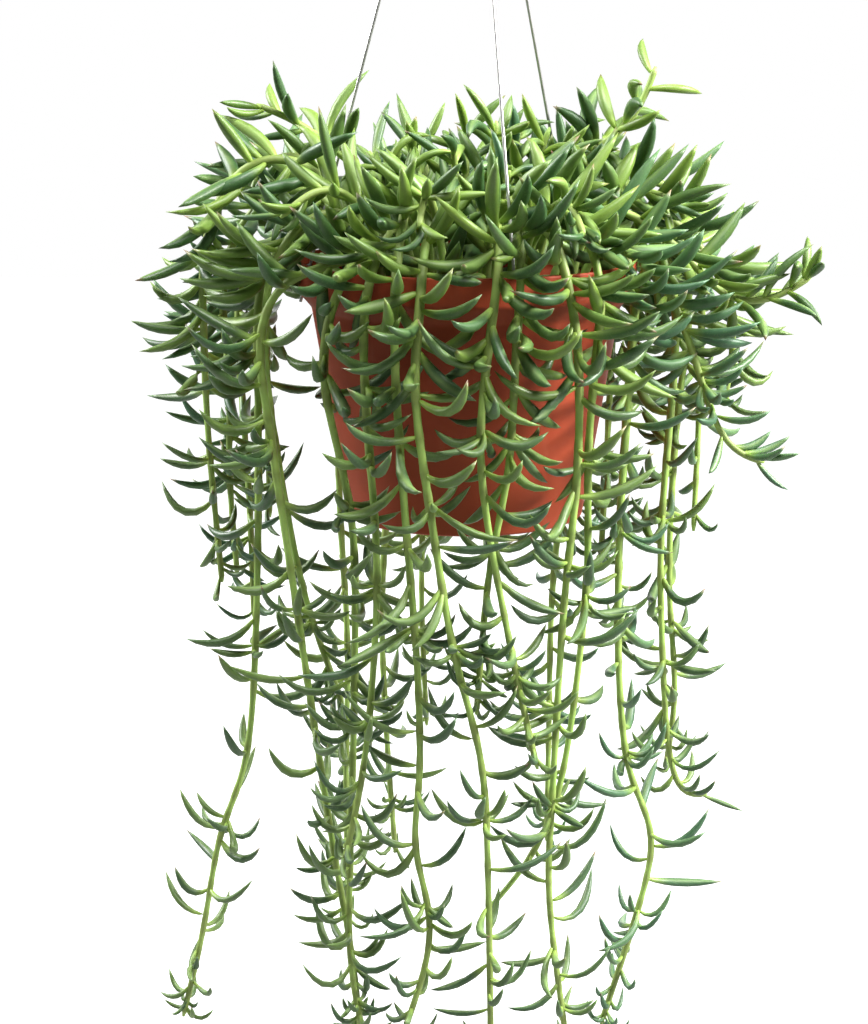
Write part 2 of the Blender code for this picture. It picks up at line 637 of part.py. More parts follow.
def try_leaf(stem, owner, along, number, crowd, frames):
    """Grows one leaf at a station, turned from its first direction until it's clear of the rest."""
    lengths = stem.lengths()
    total = lengths[-1]
    tangents, sides, lifts = frames
    root = stem.point_at(along)
    index = int(np.clip(np.searchsorted(lengths, along), 0, len(lengths) - 1))
    tangent, side, lift = tangents[index], sides[index], lifts[index]
    draw = random.Random(owner * 1000 + number)
    hanging = np.clip(-tangent[2] * 0.5 + 0.5, 0.0, 1.0)
    age = np.clip((total - along) / YOUNG_STRETCH, 0.0, 1.0)
    low = np.clip(-root[2] / LOWEST, 0.0, 1.0)
    shorter = 1.0 - LENGTH_LOSS[0] * hanging - LENGTH_LOSS[1] * low
    slimmer = 1.0 - RADIUS_LOSS[0] * hanging - RADIUS_LOSS[1] * low
    length = LEAF_LENGTH * shorter * draw.uniform(*LEAF_SIZES) * (YOUNG_SIZE[0] + (1.0 - YOUNG_SIZE[0]) * age)
    radius = LEAF_RADIUS * slimmer * draw.uniform(*LEAF_SWELLS) * (YOUNG_SIZE[1] + (1.0 - YOUNG_SIZE[1]) * age)
    spread = draw.uniform(*UPRIGHT_SPREAD) * (1.0 - hanging) + draw.uniform(*HANGING_SPREAD) * hanging
    spread = math.radians(spread) * (0.5 + 0.5 * age)
    hook = draw.uniform(*HANGING_CURL) * (CURL_BY_HEIGHT[0] + CURL_BY_HEIGHT[1] * low)
    curl = draw.uniform(*UPRIGHT_CURL) * (1.0 - hanging) + hook * hanging
    turn = number * LEAF_TURN + draw.uniform(-TURN_PLAY, TURN_PLAY)
    sweep = draw.uniform(-SIDE_SWEEP, SIDE_SWEEP)
    shares = np.linspace(0.0, 1.0, LEAF_CAPSULES + 1)
    swell = leaf_width(shares)
    for attempt in range(LEAF_TRIES):
        shift = (attempt + 1) // 2 * LEAF_SHIFT * (1 if attempt % 2 else -1)
        size = 1.0 if attempt < LEAF_TRIES * 2 // 3 else 0.8
        angle = math.radians(turn + shift)
        tilt = spread * (1.0 - 0.4 * attempt / LEAF_TRIES)
        heading = tangent * math.cos(tilt) + (side * math.cos(angle) + lift * math.sin(angle)) * math.sin(tilt)
        axis = leaf_axis(root, heading, length * size, curl, sweep, LEAF_CAPSULES * 3)
        capsules = radius * np.maximum(swell[:-1], swell[1:])
        misses, _ = pot_misses(axis)
        if (misses < radius + LEAF_CLEARANCE).any():
            continue
        if (axis[1:, 2] - radius < soil_height(axis[1:]) + 0.5).any():
            continue
        if crowd.clear(axis[::3], capsules, owner):
            return Leaf(axis, radius)
    return None


def grow_leaves(stems):
    """Grows every stem's leaves in turn, one station of each stem at a time."""
    crowd = Crowd()
    for azimuth in WIRE_AZIMUTHS:
        points = np.array(wire_path(azimuth))
        crowd.add(points, np.full(len(points) - 1, HANGER_WIRE), -1)
    frames, stations = [], []
    for owner, stem in enumerate(stems):
        keep = stem.kept()
        radii = stem.radius_at(stem.lengths()[keep])
        crowd.add(stem.path[keep], radii[:-1] + PATH_TOLERANCE, owner)
        frames.append(turning_frames(stem.path))
        stations.append(leaf_stations(stem, owner))
    swell = leaf_width(np.linspace(0.0, 1.0, LEAF_CAPSULES + 1))
    for number in range(max(len(places) for places in stations)):
        for owner, stem in enumerate(stems):
            if number >= len(stations[owner]):
                continue
            leaf = try_leaf(stem, owner, stations[owner][number], number, crowd, frames[owner])
            if leaf:
                stem.leaves.append(leaf)
                crowd.add(leaf.axis[::3], leaf.radius * np.maximum(swell[:-1], swell[1:]), owner)


def bent_spindle(name, spine, radii, sides, collection, finish=None):
    """Loft of regular rings along a spine; a ring of radius zero is a point."""
    tangents, side_ways, lifts = turning_frames(spine)
    form = bmesh.new()
    rings = []
    for point, radius, side, lift in zip(spine, radii, side_ways, lifts):
        if radius <= 0.0:
            rings.append([form.verts.new(place(point))])
            continue
        angles = [2 * math.pi * index / sides for index in range(sides)]
        rings.append([form.verts.new(place(point + radius * (side * math.cos(a) + lift * math.sin(a))))
                      for a in angles])
    for near, far in zip(rings, rings[1:]):
        for index in range(sides):
            corners = [near[index % len(near)], near[(index + 1) % len(near)],
                       far[(index + 1) % len(far)], far[index % len(far)]]
            form.faces.new(list(dict.fromkeys(corners)))
    if len(rings[0]) > 1:
        form.faces.new(rings[0])
    if len(rings[-1]) > 1:
        form.faces.new(rings[-1])
    bmesh.ops.recalc_face_normals(form, faces=form.faces)
    mesh = bpy.data.meshes.new(name)
    form.to_mesh(mesh)
    form.free()
    return add_object(name, mesh, collection, finish)


def make_stem(stem, collection, scratch):
    """One leafy stem: a tapered tube joined with its leaves by one Boolean union."""
    keep = stem.kept()
    radii = stem.radius_at(stem.lengths()[keep])
    made = bent_spindle(stem.name, stem.path[keep], radii, STEM_SIDES, collection, "stem")
    holder = bpy.data.collections.new(stem.name + "_leaves")
    scratch.children.link(holder)
    for number, leaf in enumerate(stem.leaves):
        stops = [0.0, *LEAF_RINGS, 1.0]
        shares = np.linspace(0.0, 1.0, len(leaf.axis))
        spine = np.array([[np.interp(stop, shares, leaf.axis[:, axis]) for axis in range(3)] for stop in stops])
        swell = leaf.radius * leaf_width(np.array(stops))
        swell[0] = swell[-1] = 0.0
        bent_spindle("%s_leaf_%d" % (stem.name, number), spine, swell, LEAF_SIDES, holder)
    union = made.modifiers.new("leaves", "BOOLEAN")
    union.operation = "UNION"
    union.operand_type = "COLLECTION"
    union.collection = holder
    union.solver = "EXACT"
    joined = settled_mesh(made)
    made.modifiers.clear()
    made.data = joined
    for leaf_object in list(holder.objects):
        bpy.data.objects.remove(leaf_object)
    bpy.data.collections.remove(holder)
    return made


def make_pot(collection, cutters):
    """Pot: one turned wall of even thickness, with drain holes and a hole for each wire."""
    shoulder = -RIM_BAND - SHOULDER_DROP
    profile = [(0.0, -POT_HEIGHT + WALL), (BASE_RADIUS - WALL, -POT_HEIGHT + WALL),
               (WALL_TOP_RADIUS - WALL, shoulder + 0.6), (RIM_RADIUS - WALL, -RIM_BAND + 0.6),
               (RIM_RADIUS - WALL, -EDGE_ROUND), (RIM_RADIUS - WALL + EDGE_ROUND, 0.0),
               (RIM_RADIUS - EDGE_ROUND, 0.0), (RIM_RADIUS, -EDGE_ROUND), (RIM_RADIUS, -RIM_BAND),
               (WALL_TOP_RADIUS, shoulder), (BASE_RADIUS, -POT_HEIGHT + EDGE_ROUND),
               (BASE_RADIUS - EDGE_ROUND, -POT_HEIGHT), (0.0, -POT_HEIGHT)]
    pot = turned("pot", profile, POT_STEPS, collection, "pot")
    pegs = []
    for index in range(DRAIN_HOLES):
        middle = polar(index * 360.0 / DRAIN_HOLES, DRAIN_CIRCLE)
        pegs.append(peg("drain_cutter_%d" % index, middle + [0, 0, -POT_HEIGHT - 2], middle + [0, 0, -POT_HEIGHT + 5],
                        DRAIN_RADIUS, 7))
    for index, azimuth in enumerate(WIRE_AZIMUTHS):
        pegs.append(peg("wire_cutter_%d" % index, polar(azimuth, RIM_RADIUS - 6, -WIRE_HOLE_DROP),
                        polar(azimuth, RIM_RADIUS + 4, -WIRE_HOLE_DROP), WIRE_HOLE, 8))
    cut(pot, pegs, cutters, "pot_cutters")


def make_soil(stems, collection, cutters):
    """Soil: fills the pot up to its shoulder, with a plain hole for each stem's root."""
    slope = (WALL_TOP_RADIUS - BASE_RADIUS) / (POT_HEIGHT - RIM_BAND - SHOULDER_DROP)
    floor = -POT_HEIGHT + WALL + GAP
    inner = BASE_RADIUS - WALL - GAP * 1.5
    edge = inner + slope * (SOIL_TOP - floor)
    profile = [(0.0, SOIL_TOP + SOIL_CROWN), (SOIL_FLAT_RADIUS, SOIL_TOP + SOIL_CROWN), (edge, SOIL_TOP),
               (inner, floor), (0.0, floor)]
    soil = turned("soil", profile, SOIL_STEPS, collection, "soil")
    pegs = []
    for stem in stems:
        foot = stem.path[0]
        start = (foot[0], foot[1], foot[2] - GAP)
        end = (foot[0], foot[1], SOIL_TOP + SOIL_CROWN + 4)
        wide = (STEM_BASE_RADIUS + GAP) / math.cos(math.pi / HOLE_SIDES)
        pegs.append(peg(stem.name + "_cutter", start, end, wide, HOLE_SIDES))
    cut(soil, pegs, cutters, "soil_cutters")


def make_hanger(collection, cutters):
    """Hanger: three wires, the ferrule that holds their tops, and the hook above it."""
    for index, azimuth in enumerate(WIRE_AZIMUTHS):
        wire_object("hanger_wire_%d" % (index + 1), wire_path(azimuth), HANGER_WIRE, 1, collection, "wire")
    top = HANG_DROP - HOOK_SHANK
    bottom = top - FERRULE_LENGTH
    profile = [(0.0, top), (FERRULE_RADIUS - 1, top), (FERRULE_RADIUS, top - 1), (FERRULE_RADIUS, bottom + 1),
               (FERRULE_RADIUS - 1, bottom), (0.0, bottom)]
    ferrule = turned("ferrule", profile, 12, collection, "wire")
    pegs = [peg("shank_cutter", (0, 0, top - FERRULE_SOCKET), (0, 0, top + 3), HOOK_WIRE + GAP * 1.3, 12)]
    for index, azimuth in enumerate(WIRE_AZIMUTHS):
        pegs.append(peg("socket_cutter_%d" % index, polar(azimuth, WIRE_CIRCLE, bottom - 3),
                        polar(azimuth, WIRE_CIRCLE, bottom + FERRULE_SOCKET), HANGER_WIRE + GAP * 1.3, 8))
    cut(ferrule, pegs, cutters, "ferrule_cutters")
    centre = HANG_DROP - HOOK_INNER
    bend = HOOK_INNER + HOOK_WIRE
    shank = [(0.0, 0.0, top - FERRULE_SOCKET + GAP), (0.0, 0.0, centre - bend * 1.15)]
    turns = [(bend * math.sin(math.radians(angle)), 0.0, centre - bend * math.cos(math.radians(angle)))
             for angle in range(*HOOK_ANGLES)]
    wire_object("hook", shank + turns, HOOK_WIRE, 1, collection, "wire")


def main():
    """Clears the scene and builds the whole part."""
    for existing in list(bpy.data.objects):
        bpy.data.objects.remove(existing)
    collection = bpy.data.collections.new("potted_string_of_bananas")
    cutters = bpy.data.collections.new("cutters")
    for made in (collection, cutters):
        bpy.context.scene.collection.children.link(made)
    stems = make_routes()
    settle(stems)
    grow_leaves(stems)
    make_pot(collection, cutters)
    make_soil(stems, collection, cutters)
    make_hanger(collection, cutters)
    for stem in stems:
        make_stem(stem, collection, cutters)


main()
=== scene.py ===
"""Potted string of bananas, dressed: a trailing succulent in a hanging plastic pot.

The plant grows again from the same routes and seeded draws as its plain solids. Every stem then gets a
round surface, boat-shaped leaves in place of its plain ones, and the many leaves between them that the
solids leave out. Lengths are millimetres round the centre of the pot's rim, with +X to the right, +Y to
the back and +Z up, until placed() turns them into metres under the hook. Azimuths run clockwise from
the back, seen from above.
"""

import json
import logging
import math
import random
from collections.abc import Iterator, Sequence
from dataclasses import dataclass, field
from enum import Enum
from typing import NamedTuple

import bpy
import numpy as np
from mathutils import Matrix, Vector
from mathutils.kdtree import KDTree

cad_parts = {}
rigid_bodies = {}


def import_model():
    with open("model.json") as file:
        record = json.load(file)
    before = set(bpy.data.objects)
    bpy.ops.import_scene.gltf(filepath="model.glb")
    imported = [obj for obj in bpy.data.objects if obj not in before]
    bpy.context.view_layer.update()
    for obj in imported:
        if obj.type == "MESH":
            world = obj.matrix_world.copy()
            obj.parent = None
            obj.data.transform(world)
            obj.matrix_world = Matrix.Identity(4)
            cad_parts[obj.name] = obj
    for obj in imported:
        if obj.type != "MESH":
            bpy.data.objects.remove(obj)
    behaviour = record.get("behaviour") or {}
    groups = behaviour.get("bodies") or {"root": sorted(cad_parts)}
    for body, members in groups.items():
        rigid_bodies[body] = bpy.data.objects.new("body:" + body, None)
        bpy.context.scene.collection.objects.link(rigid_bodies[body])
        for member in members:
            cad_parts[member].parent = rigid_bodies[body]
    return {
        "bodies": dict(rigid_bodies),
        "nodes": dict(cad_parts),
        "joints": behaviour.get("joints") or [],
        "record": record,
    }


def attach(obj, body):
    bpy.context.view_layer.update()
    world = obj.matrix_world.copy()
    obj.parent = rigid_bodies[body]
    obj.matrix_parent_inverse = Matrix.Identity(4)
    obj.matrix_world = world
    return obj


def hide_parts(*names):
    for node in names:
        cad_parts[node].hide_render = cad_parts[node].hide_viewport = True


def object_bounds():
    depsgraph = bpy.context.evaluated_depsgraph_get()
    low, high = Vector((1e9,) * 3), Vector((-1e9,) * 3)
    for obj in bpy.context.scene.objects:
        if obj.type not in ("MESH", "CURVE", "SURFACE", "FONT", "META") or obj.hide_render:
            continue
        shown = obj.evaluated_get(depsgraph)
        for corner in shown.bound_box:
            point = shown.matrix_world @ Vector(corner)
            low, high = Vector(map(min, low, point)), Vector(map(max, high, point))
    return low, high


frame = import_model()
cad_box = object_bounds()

LOG = logging.getLogger("string_of_bananas")
MM = 0.001
Route = list[tuple[float, float, float]]
Range = tuple[float, float]

# Slack between fitted pieces, how far leaves may pass the solids' box, and the hook's height over the rim
GAP = 0.3
OVERHANG = 2.0
HANG_DROP = 300.0

# Turn from one leaf to the next in degrees, parts of a leaf's axis in each of its capsules, and how much
# higher in the picture a point appears for each unit that it lies farther back
GOLDEN_TURN = 137.5
AXIS_PARTS = 3
SIGHT_SLOPE = 0.2126

# Routes of the stems that trail or arch, chosen from the photograph
TRAILS: dict[str, Route] = {
    "stem_left_1": [(-60, -13, 36), (-86, -15, 46), (-104, -12, 33), (-114, -10, 6), (-115, -8, -32),
                    (-114, -5, -80), (-109, -5, -145)],
    "stem_left_2": [(-58, 8, 24), (-80, 12, 30), (-101, 18, 12), (-109, 20, -18), (-106, 20, -60),
                    (-107, 20, -100), (-104, 20, -148)],
    "stem_left_3": [(-56, -24, 16), (-76, -27, 14), (-89, -30, -10), (-90, -30, -60), (-91, -30, -120),
                    (-94, -30, -190), (-99, -30, -227), (-110, -30, -255), (-118, -30, -300),
                    (-128, -30, -342)],
    "stem_left_4": [(-34, -45, 8), (-58, -54, 3), (-79, -55, -4), (-88, -54, -28), (-84, -54, -65),
                    (-76, -54, -124), (-67, -54, -190), (-58, -54, -255), (-50, -54, -305),
                    (-46, -54, -348)],
    "stem_left_5": [(-48, -30, 24), (-70, -38, 20), (-84, -40, -2), (-86, -40, -42), (-80, -40, -90),
                    (-70, -40, -144), (-54, -40, -192)],
    "shoot_left_6": [(-36, 10, 24), (-56, 12, 46), (-76, 12, 60), (-92, 12, 66)],
    "stem_front_1": [(-40, -44, 18), (-46, -57, 10), (-54, -62, -6), (-60, -62, -26), (-60, -60, -50),
                     (-49, -58, -104), (-48, -58, -160), (-50, -58, -240), (-51, -60, -304),
                     (-42, -64, -350)],
    "stem_front_2": [(-30, -50, 22), (-36, -66, 13), (-43, -75, -12), (-42, -75, -58), (-38, -74, -118),
                     (-40, -74, -170), (-45, -74, -216), (-53, -74, -254)],
    "stem_front_3": [(-16, -56, 16), (-18, -74, 12), (-20, -86, -12), (-22, -87, -45), (-17, -86, -86),
                     (-6, -85, -155), (6, -84, -203), (9, -83, -250), (11, -82, -350)],
    "stem_front_4": [(-24, -42, 28), (-27, -64, 22), (-30, -79, -2), (-30, -79, -40), (-26, -79, -100),
                     (-21, -79, -165), (-20, -79, -215), (-23, -79, -243), (-15, -80, -284),
                     (-30, -80, -338)],
    "stem_front_5": [(9, -56, 18), (12, -70, 26), (13, -82, 10), (9, -86, -22), (5, -86, -62),
                     (8, -84, -100), (22, -83, -173), (30, -83, -208)],
    "stem_front_6": [(15, -46, 30), (20, -64, 30), (22, -79, 8), (20, -81, -25), (17, -80, -80),
                     (9, -78, -124), (4, -76, -186)],
    "stem_front_7": [(27, -50, 20), (33, -61, 22), (40, -71, 4), (46, -73, -32), (46, -72, -85),
                     (41, -71, -140), (37, -70, -225), (36, -70, -272), (46, -70, -350)],
    "stem_front_8": [(36, -40, 26), (48, -54, 20), (56, -63, -4), (54, -64, -32), (51, -63, -75),
                     (51, -62, -135), (42, -62, -216), (30, -62, -252), (9, -62, -280)],
    "stem_right_1": [(52, -30, 20), (63, -35, 16), (72, -39, -10), (70, -38, -42), (67, -35, -110),
                     (67, -34, -170), (72, -34, -224), (84, -34, -252), (79, -34, -284), (62, -34, -343)],
    "stem_right_2": [(56, 0, 28), (74, 0, 25), (90, 0, -6), (93, 0, -38), (88, 0, -118), (89, 0, -170),
                     (93, 0, -225), (100, 0, -250), (111, 0, -246)],
    "stem_right_3": [(56, 20, 28), (76, 24, 32), (96, 26, 8), (101, 25, -28), (96, 25, -80),
                     (94, 25, -150), (98, 25, -205), (94, 25, -242)],
    "shoot_right_4": [(56, -14, 26), (78, -15, 16), (97, -15, 2), (108, -15, -13), (122, -15, -19),
                      (138, -15, -15), (150, -15, -6)],
    "shoot_right_5": [(58, -22, 10), (78, -24, 2), (93, -26, -24), (103, -27, -54), (110, -27, -74),
                      (121, -27, -86), (130, -27, -86)],
    "shoot_right_6": [(58, 8, 20), (80, 10, 23), (101, 10, 8), (115, 10, -14), (120, 10, -36),
                      (116, 10, -66)],
    "shoot_right_7": [(28, 6, 22), (44, 4, 38), (58, 2, 48), (71, 0, 58), (79, 0, 72), (82, 0, 83)],
}

# Stems at the back: azimuth, reach at the rim, height of the crest and height of the tip
BACK_TRAILS = [(-72, 108, 34, -172), (-58, 108, 22, -128), (-44, 85, 26, -330), (-28, 88, 18, -300),
               (-12, 90, 30, -238), (3, 87, 20, -152), (18, 91, 27, -134), (33, 86, 18, -292),
               (45, 91, 30, -155), (56, 98, 22, -186), (66, 113, 32, -130)]


class Habit(Enum):
    """How a stem grows: it trails over the rim, or it stands and leans as a shoot."""

    TRAIL = "trail"
    SHOOT = "shoot"


class Slot(Enum):
    """Names of the record's material slots; the pieces are given their materials directly."""

    POT = "pot"
    SOIL = "soil"
    WIRE = "wire"
    FOLIAGE = "foliage"


def placed(points: np.ndarray) -> np.ndarray:
    """Metres under the hook, from millimetres round the rim's centre.

    Args:
        points: Array of points, with the coordinates on its last axis.

    Returns:
        The same points, scaled and moved down by the drop of the hanger.
    """
    return (np.asarray(points, dtype=float) - [0.0, 0.0, HANG_DROP]) * MM


def unplaced(point: Vector) -> np.ndarray:
    """Millimetres round the rim's centre, from metres under the hook."""
    return np.array(point) / MM + [0.0, 0.0, HANG_DROP]


def polar(azimuth: float, radius: float, height: float = 0.0) -> np.ndarray:
    """Point at an azimuth in degrees, clockwise from the back.

    Args:
        azimuth: Angle from the back in degrees.
        radius: Distance from the pot's axis.
        height: Height over the rim.

    Returns:
        The point as an array of three numbers.
    """
    angle = math.radians(azimuth)
    return np.array([radius * math.sin(angle), radius * math.cos(angle), height])


def unit(vector: np.ndarray) -> np.ndarray:
    """The vector at length one."""
    return vector / max(np.linalg.norm(vector), 1e-9)


def units(vectors: np.ndarray) -> np.ndarray:
    """Every vector of an array at length one."""
    return vectors / np.maximum(np.linalg.norm(vectors, axis=-1, keepdims=True), 1e-9)


def smooth_path(points: Sequence, step: float) -> np.ndarray:
    """Catmull-Rom curve through the points, read at even steps of its length.

    Args:
        points: The points that the curve passes through.
        step: Distance between two points of the result.

    Returns:
        Array of points along the curve.
    """
    knots = np.array(points, dtype=float)
    knots = np.vstack([2 * knots[0] - knots[1], knots, 2 * knots[-1] - knots[-2]])
    share = np.linspace(0.0, 1.0, 24, endpoint=False)[:, None]
    pieces = []
    for before, start, end, after in zip(knots, knots[1:], knots[2:], knots[3:]):
        pieces.append(0.5 * (2 * start + (end - before) * share
                             + (2 * before - 5 * start + 4 * end - after) * share ** 2
                             + (3 * start - before - 3 * end + after) * share ** 3))
    dense = np.vstack(pieces + [knots[-2:-1]])
    gone = np.concatenate([[0.0], np.cumsum(np.linalg.norm(np.diff(dense, axis=0), axis=1))])
    stations = np.linspace(0.0, gone[-1], max(int(round(gone[-1] / step)), 2) + 1)
    return np.stack([np.interp(stations, gone, dense[:, axis]) for axis in range(3)], axis=1)


def thinned(path: np.ndarray, tolerance: float) -> list[int]:
    """Indices of the fewest path points that keep every other within a tolerance of the line.

    Args:
        path: Points of the path.
        tolerance: Greatest distance of a dropped point from the line.

    Returns:
        Indices of the kept points, the first and the last among them.
    """
    first, last = path[0], path[-1]
    along = unit(last - first)
    offsets = path - first
    misses = np.linalg.norm(offsets - np.outer(offsets @ along, along), axis=1)
    worst = int(np.argmax(misses))
    if len(path) < 3 or misses[worst] < tolerance:
        return [0, len(path) - 1]
    left = thinned(path[:worst + 1], tolerance)
    right = thinned(path[worst:], tolerance)
    return left + [worst + index for index in right[1:]]


def turning_frames(path: np.ndarray) -> tuple[np.ndarray, np.ndarray, np.ndarray]:
    """Tangent, side and lift at each path point, carried along without twist.

    Args:
        path: Points of the path.

    Returns:
        Three arrays of unit vectors, each square to the other two.
    """
    tangents = np.gradient(path, axis=0)
    tangents /= np.linalg.norm(tangents, axis=1)[:, None]
    along_y = abs(tangents[0][1]) >= 0.9
    side = unit(np.array([1.0, 0.0, 0.0]) if along_y else np.cross(tangents[0], [0.0, 1.0, 0.0]))
    sides = []
    for tangent in tangents:
        side = unit(side - tangent * (side @ tangent))
        sides.append(side)
    sides = np.array(sides)
    return tangents, sides, np.cross(tangents, sides)


def boat_width(share: np.ndarray, widest: float, neck: float, rise: float, fall: float) -> np.ndarray:
    """Radius of a leaf along its length, as shares of its greatest radius.

    Up to the widest place w it is 1 - (1 - neck) (1 - s / w) ^ rise, and from there to the tip it is
    1 - ((s - w) / (1 - w)) ^ fall, at a share s of the length.

    Args:
        share: Places along the leaf, from 0 to 1.
        widest: Where the leaf is widest.
        neck: Its radius at the foot.
        rise: Power of the curve up to the widest place.
        fall: Power of the curve from there to the tip.

    Returns:
        One share of the greatest radius a place.
    """
    share = np.asarray(share, dtype=float)
    swelling = 1.0 - (1.0 - neck) * np.clip(1.0 - share / widest, 0.0, 1.0) ** rise
    narrowing = 1.0 - np.clip((share - widest) / (1.0 - widest), 0.0, 1.0) ** fall
    return np.where(share < widest, swelling, narrowing)


@dataclass
class Surface:
    """Closed tubes as arrays: their points, their faces and the values painted on their points."""

    points: np.ndarray
    quads: np.ndarray
    triangles: np.ndarray
    paint: dict[str, np.ndarray] = field(default_factory=dict)
    finish: int = 0


def tubes(starts: np.ndarray, rings: np.ndarray, ends: np.ndarray) -> Surface:
    """Tubes of rings, each closed by a pole at both ends, with their faces pointing out.

    A ring's points run anticlockwise round the way the tube goes. Quads join each ring to the next, and
    triangles join the first and the last ring to their poles.

    Args:
        starts: First pole of each tube, (tubes, 3).
        rings: Points of the rings, (tubes, rings, sides, 3).
        ends: Last pole of each tube, (tubes, 3).

    Returns:
        One surface that holds all the tubes.
    """
    count, stations, sides, _ = rings.shape
    points = np.concatenate([starts[:, None], rings.reshape(count, -1, 3), ends[:, None]], axis=1)
    ring = 1 + sides * np.arange(stations - 1)[:, None]
    here = np.arange(sides)[None, :]
    after = (here + 1) % sides
    corners = [ring + here, ring + after, ring + sides + after, ring + sides + here]
    quads = np.stack(corners, axis=-1).reshape(-1, 4)
    last = 1 + sides * (stations - 1)
    first_fan = np.stack([np.zeros(sides, dtype=int), 1 + after[0], 1 + here[0]], axis=-1)
    last_fan = np.stack([np.full(sides, last + sides), last + here[0], last + after[0]], axis=-1)
    triangles = np.concatenate([first_fan, last_fan])
    offsets = np.arange(count)[:, None, None] * points.shape[1]
    return Surface(points.reshape(-1, 3), (quads[None] + offsets).reshape(-1, 4),
                   (triangles[None] + offsets).reshape(-1, 3))


def on_points(values: np.ndarray, first: float | np.ndarray, last: float | np.ndarray) -> np.ndarray:
    """Values painted on tubes' points, in the order in which tubes() lays the points out.

    Args:
        values: One value a ring point, (tubes, rings, sides).
        first: Value at the first poles.
        last: Value at the last poles.

    Returns:
        One value a point, as a flat array.
    """
    count = len(values)
    first = np.broadcast_to(first, count)[:, None]
    last = np.broadcast_to(last, count)[:, None]
    return np.concatenate([first, values.reshape(count, -1), last], axis=1).ravel()


def swept(path: np.ndarray, radii: np.ndarray, sides: int) -> Surface:
    """Round tube along a path: a circle of each radius, square to the path, with a pole at both ends.

    Args:
        path: Points of the path.
        radii: Radius at each point.
        sides: Points of a circle.

    Returns:
        The tube's surface.
    """
    _, side_ways, lifts = turning_frames(path)
    angles = np.linspace(0.0, 2.0 * math.pi, sides, endpoint=False)
    rings = path[:, None, :] + radii[:, None, None] * (side_ways[:, None, :] * np.cos(angles)[None, :, None]
                                                       + lifts[:, None, :] * np.sin(angles)[None, :, None])
    return tubes(path[:1], rings[None], path[-1:])


def lathed(profile: np.ndarray, steps: int) -> Surface:
    """Turned solid: each (radius, height) pair of the profile becomes a circle round Z.

    The profile starts and ends on the axis, goes up its outer side and comes down its inner one.

    Args:
        profile: Pairs of radius and height.
        steps: Points of a circle.

    Returns:
        The solid's surface.
    """
    profile = np.asarray(profile, dtype=float)
    angles = np.linspace(0.0, 2.0 * math.pi, steps, endpoint=False)
    radii, heights = profile[1:-1, 0, None], profile[1:-1, 1, None]
    rings = np.stack([radii * np.cos(angles), radii * np.sin(angles), heights + 0.0 * angles], axis=-1)
    poles = np.array([[0.0, 0.0, profile[0, 1]], [0.0, 0.0, profile[-1, 1]]])
    return tubes(poles[:1], rings[None], poles[1:])


def rounded(corners: Sequence, radius: float, stops: int) -> np.ndarray:
    """Line whose inner corners are arcs: each is a quadratic blend between two points near the corner.

    Args:
        corners: The line's corners, in two or three dimensions.
        radius: Distance from a corner to where its blend starts, or a third of the shorter side.
        stops: Points of a blend.

    Returns:
        Array of the line's points.
    """
    corners = np.asarray(corners, dtype=float)
    share = np.linspace(0.0, 1.0, stops)[:, None]
    line = [corners[:1]]
    for before, corner, after in zip(corners, corners[1:], corners[2:]):
        back, ahead = before - corner, after - corner
        near = min(radius, np.linalg.norm(back) / 3, np.linalg.norm(ahead) / 3)
        start, end = corner + unit(back) * near, corner + unit(ahead) * near
        line.append((1 - share) ** 2 * start + 2 * share * (1 - share) * corner + share ** 2 * end)
    line.append(corners[-1:])
    return np.vstack(line)


def mesh_of(name: str, surfaces: Sequence[Surface]) -> bpy.types.Mesh:
    """New mesh with the faces of all the surfaces, in metres under the hook.

    Args:
        name: Name of the mesh.
        surfaces: Surfaces that it's made of, in millimetres.

    Returns:
        The mesh.
    """
    starts = np.cumsum([0] + [len(surface.points) for surface in surfaces])
    faces = [face for surface, start in zip(surfaces, starts)
             for face in (surface.quads + start).tolist() + (surface.triangles + start).tolist()]
    mesh = bpy.data.meshes.new(name)
    mesh.from_pydata(placed(np.concatenate([surface.points for surface in surfaces])).tolist(), [], faces)
    return mesh


def new_object(name: str, shown: bpy.types.ID) -> bpy.types.Object:
    """New object in the scene that shows a mesh, a light or a camera.

    Args:
        name: Name of the object.
        shown: What it shows.

    Returns:
        The object.
    """
    made = bpy.data.objects.new(name, shown)
    bpy.context.scene.collection.objects.link(made)
    return made


def aim(made: bpy.types.Object, place: Vector, target: Vector) -> None:
    """Puts a light or a camera in its place and turns it towards a target."""
    made.location = place
    made.rotation_euler = (target - place).to_track_quat("-Z", "Y").to_euler()


def make_piece(name: str, surfaces: Sequence[Surface], finishes: Sequence[bpy.types.Material],
               replaced: Sequence[str] = ()) -> bpy.types.Object:
    """One shaded object from surfaces, riding on the body and standing for its plain nodes.

    Args:
        name: Name of the piece.
        surfaces: Surfaces that the piece is made of, in millimetres.
        finishes: Materials, in the order that the surfaces number them.
        replaced: Names of the plain nodes that it stands for.

    Returns:
        The new object.
    """
    mesh = mesh_of(name, surfaces)
    numbers = np.repeat([surface.finish for surface in surfaces],
                        [len(surface.quads) + len(surface.triangles) for surface in surfaces])
    mesh.polygons.foreach_set("material_index", numbers.astype(np.int32))
    for label in sorted({label for surface in surfaces for label in surface.paint}):
        values = [surface.paint.get(label, np.zeros(len(surface.points))) for surface in surfaces]
        layer = mesh.attributes.new(label, "FLOAT", "POINT")
        layer.data.foreach_set("value", np.concatenate(values).astype(np.float32))
    mesh.shade_smooth()
    for finish in finishes:
        mesh.materials.append(finish)
    mesh.update()
    made = new_object(name, mesh)
    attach(made, "root")
    if replaced:
        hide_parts(*replaced)
    LOG.info("%s: %d faces", name, len(numbers))
    return made


